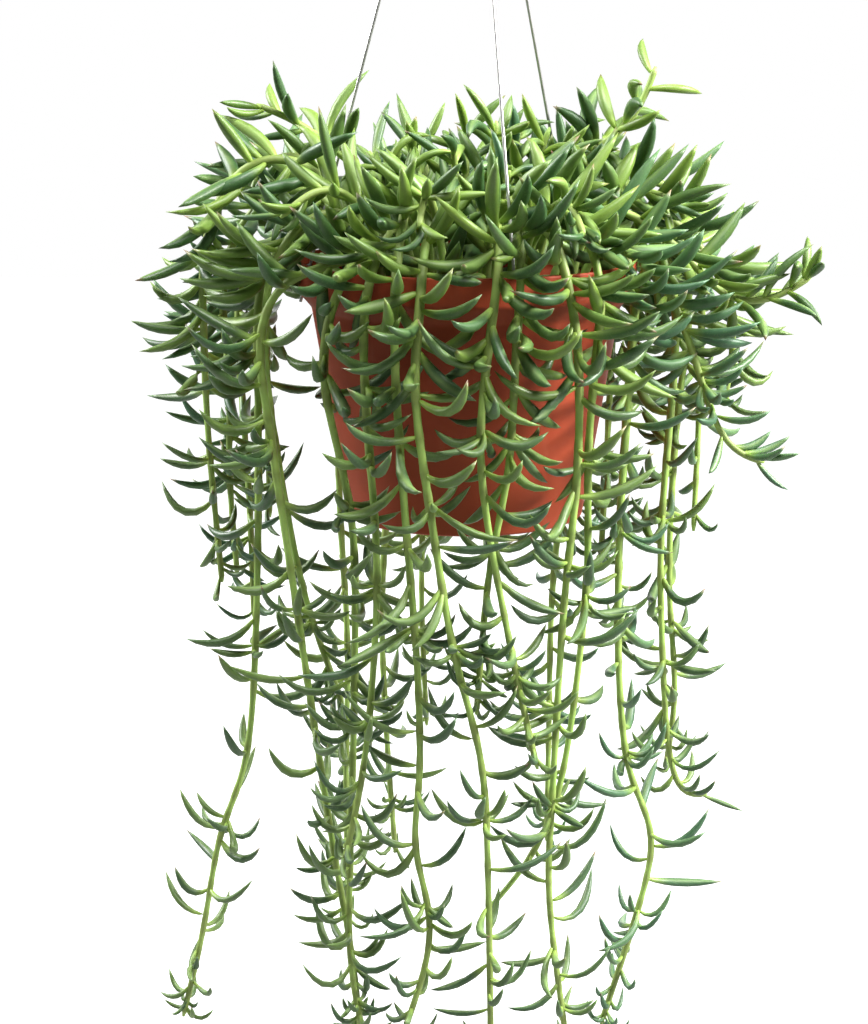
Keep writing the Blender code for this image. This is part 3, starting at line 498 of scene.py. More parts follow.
class Socket:
    """Output of a shader node. Arithmetic on it adds Math nodes, with numbers or other sockets."""

    def __init__(self, sheet: "NodeSheet", output: bpy.types.NodeSocket) -> None:
        """Holds a node's output and the sheet that it's on."""
        self.sheet = sheet
        self.output = output

    def _math(self, operation: str, first: "Value", second: "Value") -> "Socket":
        """Result of a Math node."""
        return self.sheet.add("ShaderNodeMath", {"operation": operation}, {0: first, 1: second})

    def __add__(self, other: "Value") -> "Socket":
        """Sum of the two."""
        return self._math("ADD", self, other)

    __radd__ = __add__

    def __sub__(self, other: "Value") -> "Socket":
        """This less the other."""
        return self._math("SUBTRACT", self, other)

    def __rsub__(self, other: "Value") -> "Socket":
        """The other less this."""
        return self._math("SUBTRACT", other, self)

    def __mul__(self, other: "Value") -> "Socket":
        """Product of the two."""
        return self._math("MULTIPLY", self, other)

    __rmul__ = __mul__

    def at_least(self, other: "Value") -> "Socket":
        """The larger of the two."""
        return self._math("MAXIMUM", self, other)

    def between(self, low: float, high: float) -> "Socket":
        """Smooth step from 0 at low to 1 at high; low may be the larger one.

        Args:
            low: Value that gives 0.
            high: Value that gives 1.

        Returns:
            The step's output.
        """
        if low > high:
            return 1.0 - self.between(high, low)
        return self.sheet.add("ShaderNodeMapRange", {"interpolation_type": "SMOOTHSTEP"},
                              {"Value": self, "From Min": low, "From Max": high})


Colour = tuple[float, float, float]
Value = Socket | float
Feed = Socket | float | Colour


class NodeSheet:
    """Node tree of a material or of the world, with its shader."""

    def __init__(self, owner: bpy.types.Material | bpy.types.World, shader: str = "Principled BSDF") -> None:
        """Opens the owner's node tree.

        Args:
            owner: Material or world.
            shader: Name of the shader node that it starts with.
        """
        owner.use_nodes = True
        self.owner = owner
        self.tree = owner.node_tree
        self.shader = self.tree.nodes[shader]

    @classmethod
    def material(cls, name: str) -> "NodeSheet":
        """Sheet of a new material."""
        return cls(bpy.data.materials.new(name))

    def add(self, kind: str, settings: dict | None = None, feeds: dict | None = None,
            output: int | str = 0) -> Socket:
        """Adds any node: its settings are set first, and then its sockets.

        Args:
            kind: Type of the node.
            settings: Properties of the node by name.
            feeds: Values or links of its input sockets, by name or number.
            output: Output socket to hand back.

        Returns:
            The wanted output.
        """
        made = self.tree.nodes.new(kind)
        for label, value in (settings or {}).items():
            setattr(made, label, value)
        for label, value in (feeds or {}).items():
            self.feed(made.inputs[label], value)
        return Socket(self, made.outputs[output])

    def feed(self, target: bpy.types.NodeSocket, value: Feed) -> None:
        """Links a socket to an input, or sets the input's own value.

        Args:
            target: The input.
            value: A socket, a number or a colour.
        """
        if isinstance(value, Socket):
            self.tree.links.new(value.output, target)
        elif target.type == "RGBA":
            target.default_value = (*value, 1.0)
        else:
            target.default_value = value

    def shade(self, **feeds: Feed) -> bpy.types.Material | bpy.types.World:
        """Feeds the shader's sockets, named with underscores for blanks.

        Args:
            feeds: Values or links by socket.

        Returns:
            The finished material or world.
        """
        for label, value in feeds.items():
            self.feed(self.shader.inputs[label.replace("_", " ")], value)
        return self.owner

    def spot(self) -> Socket:
        """Object coordinates, in metres."""
        return self.add("ShaderNodeTexCoord", output="Object")

    def height(self) -> Socket:
        """Height under the hook, in metres."""
        return self.add("ShaderNodeSeparateXYZ", feeds={"Vector": self.spot()}, output="Z")

    def painted(self, label: str) -> Socket:
        """Value painted on the piece's points."""
        return self.add("ShaderNodeAttribute", {"attribute_name": label}, output="Fac")

    def noise(self, size: float, detail: float = 2.0, stretch: Colour = (1.0, 1.0, 1.0)) -> Socket:
        """Soft noise from 0 to 1.

        Args:
            size: Size of a blot in millimetres.
            detail: Octaves of finer noise.
            stretch: How many times denser the noise is along each axis.

        Returns:
            The noise's value.
        """
        where = self.add("ShaderNodeMapping", feeds={"Vector": self.spot(), "Scale": stretch})
        return self.add("ShaderNodeTexNoise",
                        feeds={"Vector": where, "Scale": 1.0 / (size * MM), "Detail": detail})

    def cells(self, size: float) -> Socket:
        """Distance to the nearest of a field of scattered points, from 0 to about 1.

        Args:
            size: Distance between points in millimetres.

        Returns:
            The distance as a share of the size.
        """
        return self.add("ShaderNodeTexVoronoi", feeds={"Vector": self.spot(), "Scale": 1.0 / (size * MM)})

    def mix(self, share: Value, first: Feed, second: Feed) -> Socket:
        """Blend of two colours.

        Args:
            share: How much of the second colour is used.
            first: Colour at a share of 0.
            second: Colour at a share of 1.

        Returns:
            The blended colour.
        """
        return self.add("ShaderNodeMix", {"data_type": "RGBA", "clamp_factor": True},
                        {0: share, 6: first, 7: second}, output=2)

    def bump(self, height: Socket, depth: float, strength: float = 1.0) -> Socket:
        """Normal from a height field.

        Args:
            height: Field from 0 to 1.
            depth: Depth of the field in millimetres.
            strength: Strength of the relief.

        Returns:
            The bumped normal.
        """
        return self.add("ShaderNodeBump",
                        feeds={"Height": height, "Distance": depth * MM, "Strength": strength})


@dataclass(frozen=True)
class LeafSkin:
    """Waxy skin of the leaves: green in many tones, with a pale groove and a yellowish foot; darker and bluer
    below the crown, partly leaf colour and partly painted shade.
    """

    fresh: Colour = (0.195, 0.305, 0.037)
    deep: Colour = (0.036, 0.095, 0.026)
    # Dark blue-green below the crown: partly the lower leaves' own colour, partly painted shade
    low: Colour = (0.061, 0.116, 0.056)
    blue: Colour = (0.050, 0.140, 0.072)
    pale: Colour = (0.38, 0.53, 0.18)
    foot: Colour = (0.30, 0.44, 0.07)
    blush: Colour = (0.20, 0.10, 0.06)
    # Heights in metres over which the painted shade below the crown fades out
    crown_height: Range = (-0.42, -0.27)

    def make(self) -> bpy.types.Material:
        """Builds the material.

        Returns:
            The leaf material.
        """
        sheet = NodeSheet.material("leaf_skin")
        along, groove = sheet.painted("along"), sheet.painted("groove")
        tone, dry, blue = sheet.painted("tone"), sheet.painted("dry"), sheet.painted("blue")
        crown = sheet.height().between(*self.crown_height)
        cloud = sheet.noise(9.0, 3.0)
        depth = (tone + cloud * 0.5 - 0.05).at_least(0.0)
        colour = sheet.mix(depth, self.fresh, self.deep)
        # Painted shade: leaves below the crown band are mixed towards the low tone, darker and bluer, partly
        # their own colour and partly shade under the crown
        colour = sheet.mix((1.0 - crown) * 0.45, colour, self.low)
        colour = sheet.mix(blue * 0.6, colour, self.blue)
        colour = sheet.mix(groove * (0.10 + cloud * 0.4), colour, self.pale)
        colour = sheet.mix(along.between(0.36, 0.03) * 0.85, colour, self.foot)
        colour = sheet.mix(along.between(0.86, 0.99) * dry, colour, self.blush)
        colour = sheet.mix(sheet.noise(0.7, 2.0).between(0.55, 0.75) * 0.12, colour, self.pale)
        return sheet.shade(Base_Color=colour, Roughness=0.36 + cloud * 0.2,
                           Normal=sheet.bump(sheet.noise(1.6, 3.0), 0.12, 0.5), Subsurface_Weight=0.12,
                           Subsurface_Radius=(0.6, 1.0, 0.3), Subsurface_Scale=0.003, Specular_IOR_Level=0.55)


@dataclass(frozen=True)
class StemSkin:
    """Skin of the stems: yellow-green, woody near the soil, darker at the scars below each leaf."""

    young: Colour = (0.38, 0.56, 0.13)
    old: Colour = (0.20, 0.34, 0.07)
    woody: Colour = (0.13, 0.12, 0.045)
    scar: Colour = (0.17, 0.19, 0.05)

    def make(self) -> bpy.types.Material:
        """Builds the material.

        Returns:
            The stem material.
        """
        sheet = NodeSheet.material("stem_skin")
        along, scar = sheet.painted("along"), sheet.painted("scar")
        cloud = sheet.noise(14.0, 3.0)
        colour = sheet.mix(cloud.between(0.3, 0.7) * 0.6, self.young, self.old)
        colour = sheet.mix(along.between(0.12, 0.02) * 0.8, colour, self.woody)
        colour = sheet.mix(scar * 0.6, colour, self.scar)
        colour = sheet.mix(sheet.noise(1.0, 2.0, (1.0, 1.0, 0.3)).between(0.5, 0.8) * 0.25, colour, self.old)
        relief = sheet.noise(1.3, 3.0, (1.0, 1.0, 0.25))
        return sheet.shade(Base_Color=colour, Roughness=0.42 + cloud * 0.2,
                           Normal=sheet.bump(relief, 0.15, 0.5), Subsurface_Weight=0.08,
                           Subsurface_Radius=(0.6, 1.0, 0.3), Subsurface_Scale=0.002)


@dataclass(frozen=True)
class PotPlastic:
    """Moulded terracotta-coloured plastic: satin, faintly clouded, with scuffs and dried water marks."""

    body: Colour = (0.45, 0.072, 0.026)
    dark: Colour = (0.26, 0.030, 0.013)
    dust: Colour = (0.46, 0.15, 0.09)

    def make(self) -> bpy.types.Material:
        """Builds the material.

        Returns:
            The pot's material.
        """
        sheet = NodeSheet.material("pot_plastic")
        cloud = sheet.noise(38.0, 4.0)
        grain = sheet.noise(0.8, 2.0)
        runs = sheet.noise(7.0, 4.0, (1.0, 1.0, 0.18))
        marks = sheet.noise(3.0, 5.0).between(0.62, 0.72)
        colour = sheet.mix(cloud * 0.5, self.body, self.dark)
        colour = sheet.mix(runs.between(0.55, 0.8) * 0.18, colour, self.dust)
        colour = sheet.mix(marks * 0.12, colour, self.dust)
        return sheet.shade(Base_Color=colour, Roughness=0.46 + runs * 0.16 + marks * 0.1,
                           Normal=sheet.bump(grain, 0.05, 0.4), Specular_IOR_Level=0.3)


@dataclass(frozen=True)
class PottingSoil:
    """Dark peaty soil with lighter fibres."""

    peat: Colour = (0.030, 0.018, 0.011)
    fibre: Colour = (0.11, 0.065, 0.035)

    def make(self) -> bpy.types.Material:
        """Builds the material.

        Returns:
            The soil's material.
        """
        sheet = NodeSheet.material("potting_soil")
        crumbs = sheet.cells(2.2)
        fibres = sheet.noise(2.4, 5.0)
        colour = sheet.mix(fibres.between(0.45, 0.7) * 0.7, self.peat, self.fibre)
        return sheet.shade(Base_Color=colour, Roughness=0.85 + crumbs * 0.1,
                           Normal=sheet.bump(fibres - crumbs * 0.6, 1.2, 0.9))


@dataclass(frozen=True)
class Perlite:
    """White expanded grains in the soil."""

    white: Colour = (0.68, 0.66, 0.61)
    stain: Colour = (0.36, 0.30, 0.22)

    def make(self) -> bpy.types.Material:
        """Builds the material.

        Returns:
            The grains' material.
        """
        sheet = NodeSheet.material("perlite")
        pits = sheet.noise(0.6, 3.0)
        colour = sheet.mix(sheet.noise(5.0, 2.0).between(0.4, 0.8), self.white, self.stain)
        return sheet.shade(Base_Color=colour, Roughness=0.8 + pits * 0.15, Normal=sheet.bump(pits, 0.3, 0.8))


@dataclass(frozen=True)
class GalvanisedWire:
    """Drawn zinc-coated wire: pale, with faint lengthways streaks and dull spots."""

    bright: Colour = (0.50, 0.50, 0.49)
    dull: Colour = (0.34, 0.34, 0.33)

    def make(self) -> bpy.types.Material:
        """Builds the material.

        Returns:
            The wire's material.
        """
        sheet = NodeSheet.material("galvanised_wire")
        spots = sheet.noise(3.0, 3.0, (1.0, 1.0, 0.2))
        colour = sheet.mix(spots.between(0.4, 0.75), self.bright, self.dull)
        return sheet.shade(Base_Color=colour, Metallic=0.9, Roughness=0.30 + spots * 0.2,
                           Normal=sheet.bump(sheet.noise(0.5, 2.0, (1.0, 1.0, 0.1)), 0.02, 0.4))


@dataclass(frozen=True)
class StudioPaper:
    """Matt pale paper of the floor, which the camera sees lit through."""

    white: Colour = (0.35, 0.35, 0.35)

    def make(self) -> bpy.types.Material:
        """Builds the material.

        Returns:
            The floor's material.
        """
        sheet = NodeSheet.material("studio_paper")
        seen = sheet.add("ShaderNodeLightPath", output="Is Camera Ray")
        return sheet.shade(Base_Color=self.white, Roughness=0.95, Specular_IOR_Level=0.1, Emission_Color=seen,
                           Emission_Strength=1.0)


@dataclass
class Pot:
    """Pot: a thin tapered wall that steps out by a shoulder into an upright rim band."""

    rim_radius: float = 75.0
    rim_band: float = 12.5
    shoulder_drop: float = 8.0
    wall_top_radius: float = 68.0
    base_radius: float = 52.0
    height: float = 114.0
    wall: float = 2.2
    drain_holes: int = 6
    drain_radius: float = 4.5
    drain_circle: float = 36.0
    wire_hole: float = 1.2
    wire_hole_drop: float = 5.5
    foot_ring: Range = (9.0, 7.0)
    foot_lift: float = 1.2
    inner_step: float = 0.6
    edge_blend: float = 1.4
    edge_stops: int = 7
    sharp_angle: float = 50.0
    drain_peg: Range = (-2.0, 5.0)
    wire_peg: Range = (-6.0, 4.0)
    steps: int = 168

    def section(self) -> list[tuple[Range, Range]]:
        """Middles of the walls, as lines between (radius, height) pairs.

        Returns:
            Start and end of each line.
        """
        half = self.wall / 2
        shoulder = -self.rim_band - self.shoulder_drop
        return [((self.rim_radius - half, 0.0), (self.rim_radius - half, -self.rim_band)),
                ((self.rim_radius - half, -self.rim_band), (self.wall_top_radius - half, shoulder)),
                ((self.wall_top_radius - half, shoulder), (self.base_radius - half, -self.height)),
                ((self.base_radius - half, -self.height + half), (0.0, -self.height + half))]

    def misses(self, points: np.ndarray) -> tuple[np.ndarray, np.ndarray]:
        """Distance of points from the walls, and the way out of them.

        Args:
            points: The points, (count, 3).

        Returns:
            The distances, and unit vectors in the (radius, height) plane.
        """
        flat = np.stack([np.hypot(points[:, 0], points[:, 1]), points[:, 2]], axis=1)
        best = np.full(len(points), 1e9)
        way = np.zeros((len(points), 2))
        for start, end in self.section():
            start, end = np.array(start), np.array(end)
            run = end - start
            share = np.clip(((flat - start) @ run) / (run @ run), 0.0, 1.0)
            offset = flat - (start + share[:, None] * run)
            miss = np.linalg.norm(offset, axis=1)
            nearer = miss < best
            best = np.where(nearer, miss, best)
            way[nearer] = offset[nearer] / np.maximum(miss[nearer], 1e-6)[:, None]
        return best - self.wall / 2, way

    def profile(self) -> np.ndarray:
        """Closed outline of the wall: out under the base, up the outside and down the inside.

        Returns:
            Pairs of radius and height, with arcs at the edges.
        """
        shoulder = -self.rim_band - self.shoulder_drop
        raised = -self.height + self.foot_lift
        outer = [(0.0, raised), (self.base_radius - self.foot_ring[0], raised),
                 (self.base_radius - self.foot_ring[1], -self.height), (self.base_radius, -self.height),
                 (self.wall_top_radius, shoulder), (self.rim_radius, -self.rim_band), (self.rim_radius, 0.0)]
        inner = [(self.rim_radius - self.wall, 0.0),
                 (self.rim_radius - self.wall, -self.rim_band + self.inner_step),
                 (self.wall_top_radius - self.wall, shoulder + self.inner_step),
                 (self.base_radius - self.wall, -self.height + self.wall), (0.0, -self.height + self.wall)]
        return rounded(outer + inner, self.edge_blend, self.edge_stops)

    def holes(self, azimuths: Sequence[float]) -> list[Surface]:
        """Pegs that cut the drain holes and the holes of the wires.

        Args:
            azimuths: Directions of the wires.

        Returns:
            One closed surface a hole.
        """
        pegs = []
        for index in range(self.drain_holes):
            middle = polar(index * 360.0 / self.drain_holes, self.drain_circle)
            ends = np.array([middle + [0.0, 0.0, -self.height + reach] for reach in self.drain_peg])
            pegs.append(swept(ends, np.full(2, self.drain_radius), 24))
        for azimuth in azimuths:
            ends = np.array([polar(azimuth, self.rim_radius + reach, -self.wire_hole_drop)
                             for reach in self.wire_peg])
            pegs.append(swept(ends, np.full(2, self.wire_hole), 16))
        return pegs

    def build(self, azimuths: Sequence[float]) -> None:
        """Turns the wall, cuts its holes and dresses it.

        Args:
            azimuths: Directions of the wires.
        """
        moulding = lathed(self.profile(), self.steps)
        wall = make_piece("pot_moulding", [moulding], [PotPlastic().make()], ["pot"])
        cutter = new_object("pot_holes", mesh_of("pot_holes", self.holes(azimuths)))
        cut = wall.modifiers.new("holes", "BOOLEAN")
        cut.operation = "DIFFERENCE"
        cut.object = cutter
        cut.solver = "EXACT"
        bpy.context.view_layer.update()
        drilled = bpy.data.meshes.new_from_object(wall.evaluated_get(bpy.context.evaluated_depsgraph_get()))
        wall.modifiers.clear()
        wall.data = drilled
        wall.data.set_sharp_from_angle(angle=math.radians(self.sharp_angle))
        bpy.data.objects.remove(cutter)


@dataclass
class SoilBed:
    """Soil: a lumpy bed that fills the pot, with loose crumbs and perlite on it."""

    pot: Pot
    top: float = -22.0
    crown: float = 1.5
    lump: float = 0.9
    rings: int = 30
    steps: int = 96
    crumbs: int = 620
    crumb_sizes: Range = (0.7, 2.4)
    grains: int = 90
    grain_sizes: Range = (0.7, 1.7)
    grain_sides: int = 6
    grain_levels: tuple[float, ...] = (-0.62, 0.0, 0.62)
    squash: Range = (0.55, 1.0)
    rough: Range = (0.82, 1.14)
    sunk: float = 0.3
    edge_gap: float = 4.5
    flat_radius: float = 65.0
    waves: tuple[tuple[float, float, float], ...] = ((0.19, 0.7, 0.5), (0.33, 2.1, 0.3), (0.61, 4.0, 0.2),
                                                     (0.97, 5.2, 0.12))
    seed: int = 77

    def height_under(self, points: np.ndarray) -> np.ndarray:
        """Height of the soil's top under points, or far below where there's no soil."""
        reach = np.hypot(points[:, 0], points[:, 1])
        return np.where(reach < self.pot.wall_top_radius, self.top + self.crown, -1e6)

    def relief(self, x: np.ndarray, y: np.ndarray) -> np.ndarray:
        """Lumps of the top: a sum of crossed sine waves of falling size.

        Args:
            x: First coordinates.
            y: Second coordinates.

        Returns:
            Heights over the mean level.
        """
        total = np.zeros_like(x)
        for pace, turn, share in self.waves:
            along = x * math.cos(turn) + y * math.sin(turn)
            across = y * math.cos(turn) - x * math.sin(turn)
            total += share * np.sin(pace * along + turn) * np.cos(pace * across)
        return total * self.lump

    def bed(self) -> Surface:
        """Bed: under its floor, up inside the wall, and in over the lumpy top.

        Returns:
            The bed's surface.
        """
        slope = (self.pot.wall_top_radius - self.pot.base_radius) / (self.pot.height - self.pot.rim_band
                                                                     - self.pot.shoulder_drop)
        floor = -self.pot.height + self.pot.wall + GAP
        foot = self.pot.base_radius - self.pot.wall - 1.5 * GAP
        edge = foot + slope * (self.top - floor)
        radii = np.linspace(edge, 0.0, self.rings)
        levels = self.top + self.crown * (1.0 - (radii / edge) ** 4)
        profile = np.vstack([[(0.0, floor), (foot, floor)], np.stack([radii, levels], axis=1)])
        surface = lathed(profile, self.steps)
        loose = surface.points[:, 2] > self.top - 0.01
        x, y = surface.points[loose, 0], surface.points[loose, 1]
        surface.points[loose, 2] += self.relief(x, y)
        return surface

    def scattered(self, count: int, sizes: Range, seed: int) -> Surface:
        """Grains on the bed: stretched and turned lumps of three rings, sunk by a third of their radius.

        Args:
            count: How many grains.
            sizes: Least and greatest radius.
            seed: Seed of the draws.

        Returns:
            All the grains as one surface.
        """
        draw = np.random.default_rng(seed)
        widest = self.pot.wall_top_radius - self.pot.wall - self.edge_gap
        reach = np.sqrt(draw.uniform(0.0, 1.0, count)) * widest
        turn = draw.uniform(0.0, 2.0 * math.pi, count)
        radius = draw.uniform(*sizes, count)
        x, y = reach * np.cos(turn), reach * np.sin(turn)
        level = self.top + self.crown * (1.0 - (reach / self.flat_radius) ** 4)
        z = level + self.relief(x, y) + radius * self.sunk
        spin = np.linalg.qr(draw.normal(size=(count, 3, 3)))[0]
        spin[:, :, 0] *= np.sign(np.linalg.det(spin))[:, None]
        squash = draw.uniform(*self.squash, (count, 3)) * radius[:, None]
        levels = np.array(self.grain_levels)
        angles = np.linspace(0.0, 2.0 * math.pi, self.grain_sides, endpoint=False)
        ring = np.sqrt(1.0 - levels ** 2)
        ball = np.stack([ring[:, None] * np.cos(angles), ring[:, None] * np.sin(angles),
                         levels[:, None] + 0.0 * angles], axis=-1)
        rough = draw.uniform(*self.rough, (count, len(levels), self.grain_sides, 1))
        middles = np.stack([x, y, z], axis=1)
        rings = np.einsum("nij,nrsj->nrsi", spin, ball[None] * rough * squash[:, None, None, :])
        poles = np.einsum("nij,nj->ni", spin, np.array([0.0, 0.0, 1.0]) * squash)
        return tubes(middles - poles, rings + middles[:, None, None, :], middles + poles)

    def build(self) -> None:
        """Builds the bed, its crumbs and its perlite."""
        soil = PottingSoil().make()
        make_piece("soil_bed", [self.bed()], [soil], ["soil"])
        crumbs = self.scattered(self.crumbs, self.crumb_sizes, self.seed)
        make_piece("soil_crumbs", [crumbs], [soil])
        grains = self.scattered(self.grains, self.grain_sizes, self.seed + 1)
        make_piece("perlite_grains", [grains], [Perlite().make()])


@dataclass
class Hanger:
    """Hanger: three wires from the rim band to a crimped ferrule, and a hook above it."""

    pot: Pot
    hook_wire: float = 1.5
    hook_inner: float = 11.0
    hook_shank: float = 40.0
    hook_angles: Range = (24.0, 271.0)
    ferrule_radius: float = 5.0
    ferrule_length: float = 16.0
    ferrule_socket: float = 6.0
    wire: float = 0.7
    wire_circle: float = 2.6
    azimuths: tuple[float, ...] = (44.0, 164.0, 284.0)
    tail: float = 6.0
    bend: float = 0.9
    entry: float = 4.0
    wire_sides: int = 12
    wire_step: float = 2.0
    wire_blend: float = 0.6
    wire_stops: int = 5
    crimp_places: Range = (0.3, 0.7)
    crimp_width: float = 0.055
    crimp_depth: float = 0.55
    chamfer_width: float = 0.035
    chamfer_depth: float = 0.9
    ferrule_rings: int = 41
    ferrule_steps: int = 40
    hook_neck: float = 1.15
    hook_stops: int = 60
    hook_step: float = 1.2
    hook_blend: float = 3.0
    hook_sides: int = 20

    def wire_path(self, azimuth: float) -> Route:
        """Corners of a wire: its tail outside the band, the hole, and the straight run to the ferrule.

        Args:
            azimuth: Direction of the wire.

        Returns:
            Seven points.
        """
        inner = self.pot.rim_radius - self.pot.wall - self.wire - self.bend
        outer = self.pot.rim_radius + self.wire + self.bend
        level = -self.pot.wire_hole_drop
        top = HANG_DROP - self.hook_shank - self.ferrule_length + self.ferrule_socket - GAP
        foot = HANG_DROP - self.hook_shank - self.ferrule_length - self.entry
        corners = [(outer + self.bend, level + self.tail), (outer, level + self.bend),
                   (outer - self.bend, level), (inner + self.bend, level),
                   (inner, level + self.bend), (self.wire_circle, foot), (self.wire_circle, top)]
        return [polar(azimuth, radius, height) for radius, height in corners]

    def ferrule(self) -> Surface:
        """Ferrule: a short sleeve with two crimped grooves, chamfered at both ends.

        Returns:
            Its surface, whose radius loses a bell curve at each groove.
        """
        top = HANG_DROP - self.hook_shank
        bottom = top - self.ferrule_length
        share = np.linspace(0.0, 1.0, self.ferrule_rings)
        crimp = sum(np.exp(-((share - place) / self.crimp_width) ** 2) for place in self.crimp_places)
        ends = np.exp(-share / self.chamfer_width) + np.exp(-(1.0 - share) / self.chamfer_width)
        radii = self.ferrule_radius - self.crimp_depth * crimp - self.chamfer_depth * ends
        wall = np.stack([radii, bottom + share * self.ferrule_length], axis=1)
        return lathed(np.vstack([[(0.0, bottom)], wall, [(0.0, top)]]), self.ferrule_steps)

    def hook(self) -> Surface:
        """Hook: a straight shank that bends into an open arc, with a rounded end.

        Returns:
            Its surface, whose radius falls along a quarter circle at the end.
        """
        top = HANG_DROP - self.hook_shank
        centre = HANG_DROP - self.hook_inner
        reach = self.hook_inner + self.hook_wire
        angles = np.radians(np.linspace(*self.hook_angles, self.hook_stops))
        arc = np.stack([reach * np.sin(angles), 0.0 * angles, centre - reach * np.cos(angles)], axis=1)
        shank = [(0.0, 0.0, top - self.ferrule_socket + GAP), (0.0, 0.0, centre - reach * self.hook_neck)]
        neck = rounded([*shank, tuple(arc[0])], self.hook_blend, 8)
        path = smooth_path(np.vstack([neck[:-1], arc]), self.hook_step)
        left = np.arange(len(path))[::-1]
        missing = np.clip(1.0 - (left + 0.2) * self.hook_step / self.hook_wire, 0.0, 1.0)
        return swept(path, self.hook_wire * np.sqrt(1.0 - missing ** 2), self.hook_sides)

    def build(self) -> None:
        """Builds the wires, the ferrule and the hook."""
        steel = GalvanisedWire().make()
        for number, azimuth in enumerate(self.azimuths, start=1):
            corners = rounded(self.wire_path(azimuth), self.wire_blend, self.wire_stops)
            path = smooth_path(corners, self.wire_step)
            strand = swept(path, np.full(len(path), self.wire), self.wire_sides)
            make_piece("wire_strand_%d" % number, [strand], [steel], ["hanger_wire_%d" % number])
        make_piece("crimped_ferrule", [self.ferrule()], [steel], ["ferrule"])
        make_piece("bent_hook", [self.hook()], [steel], ["hook"])


@dataclass
class Leaf:
    """One leaf: the points of its bent axis, its radius, the way its groove faces, and its tones."""

    axis: np.ndarray
    radius: float
    facing: np.ndarray
    tone: float = 0.5
    dry: float = 0.0
    blue: float = 0.0


@dataclass
class Stem:
    """One leafy stem: its smooth path, its habit, and the leaves that grow on it."""

    name: str
    path: np.ndarray
    habit: Habit
    leaves: list[Leaf] = field(default_factory=list)
    base_radius: float = 2.1
    tip_radius: float = 1.3
    tolerance: float = 1.4
    taper: float = 1.2
    rooted_below: float = -16.0

    def lengths(self) -> np.ndarray:
        """Distance along the path at each of its points."""
        steps = np.linalg.norm(np.diff(self.path, axis=0), axis=1)
        return np.concatenate([[0.0], np.cumsum(steps)])

    def foot(self) -> int:
        """How many of the path's first points stand upright, in and just above the soil."""
        return int(np.argmax(self.path[:, 2] > self.rooted_below))

    def kept(self) -> list[int]:
        """Indices of the path points that the plain solid uses."""
        top = self.foot() - 1
        return [0] + [top + index for index in thinned(self.path[top:], self.tolerance)]

    def point_at(self, along: float) -> np.ndarray:
        """Point on the middle of the plain solid."""
        keep = self.kept()
        return np.array([np.interp(along, self.lengths()[keep], self.path[keep, axis]) for axis in range(3)])

    def radius_at(self, along: np.ndarray) -> np.ndarray:
        """Radius of the stem, which narrows towards its tip."""
        share = np.clip(along / self.lengths()[-1], 0.0, 1.0)
        return self.base_radius + (self.tip_radius - self.base_radius) * share ** self.taper


class Station(NamedTuple):
    """Place of a leaf along its stem, and how large the leaf is there."""

    along: float
    size: float


def segment_gaps(a0: np.ndarray, a1: np.ndarray, b0: np.ndarray, b1: np.ndarray) -> np.ndarray:
    """Least distance between two lists of segments, pair by pair, from their closest points.

    Args:
        a0: Starts of the first segments.
        a1: Ends of the first segments.
        b0: Starts of the second segments.
        b1: Ends of the second segments.

    Returns:
        One distance a pair.
    """
    run_a, run_b, across = a1 - a0, b1 - b0, a0 - b0
    aa = np.einsum("ij,ij->i", run_a, run_a) + 1e-12
    bb = np.einsum("ij,ij->i", run_b, run_b) + 1e-12
    ab = np.einsum("ij,ij->i", run_a, run_b)
    ac = np.einsum("ij,ij->i", run_a, across)
    bc = np.einsum("ij,ij->i", run_b, across)
    share_a = np.clip((ab * bc - ac * bb) / np.maximum(aa * bb - ab * ab, 1e-9), 0.0, 1.0)
    share_b = np.clip((ab * share_a + bc) / bb, 0.0, 1.0)
    share_a = np.clip((ab * share_b - ac) / aa, 0.0, 1.0)
    near = across + run_a * share_a[:, None] - run_b * share_b[:, None]
    return np.linalg.norm(near, axis=1)


class Crowd:
    """Everything that leaves keep clear of, as capsules: two ends, a radius and an owner."""

    def __init__(self) -> None:
        """Starts with no capsules."""
        self.starts = np.empty((0, 3))
        self.ends = np.empty((0, 3))
        self.radii = np.empty(0)
        self.owners = np.empty(0, dtype=int)

    def add(self, points: np.ndarray, radii: np.ndarray, owner: int) -> None:
        """Adds the capsules along a line of points.

        Args:
            points: The line's points.
            radii: Radius of each stretch.
            owner: Number of the stem that they belong to.
        """
        self.starts = np.vstack([self.starts, points[:-1]])
        self.ends = np.vstack([self.ends, points[1:]])
        self.radii = np.concatenate([self.radii, radii])
        self.owners = np.concatenate([self.owners, np.full(len(radii), owner)])

    def clear(self, points: np.ndarray, radii: np.ndarray, owner: int, clearance: float) -> bool:
        """Whether a line of capsules keeps its clearance, and its outer half keeps off its own stem.

        Args:
            points: The line's points.
            radii: Radius of each stretch.
            owner: Number of the stem that it grows on.
            clearance: Least gap to everything else.

        Returns:
            True if nothing is too close.
        """
        middle = points.mean(axis=0)
        reach = np.linalg.norm(points - middle, axis=1).max() + radii.max() + clearance
        centres = (self.starts + self.ends) / 2
        spans = np.linalg.norm(self.ends - self.starts, axis=1) / 2
        close = np.linalg.norm(centres - middle, axis=1) < reach + spans + self.radii
        starts, ends, others = self.starts[close], self.ends[close], self.radii[close]
        own = self.owners[close] == owner
        for index, radius in enumerate(radii):
            use = ~own if index < len(radii) / 2 else np.ones(len(own), dtype=bool)
            if not use.any():
                continue
            count = int(use.sum())
            first = np.repeat(points[index:index + 1], count, axis=0)
            last = np.repeat(points[index + 1:index + 2], count, axis=0)
            gaps = segment_gaps(first, last, starts[use], ends[use])
            if (gaps < radius + others[use] + clearance).any():
                return False
        return True


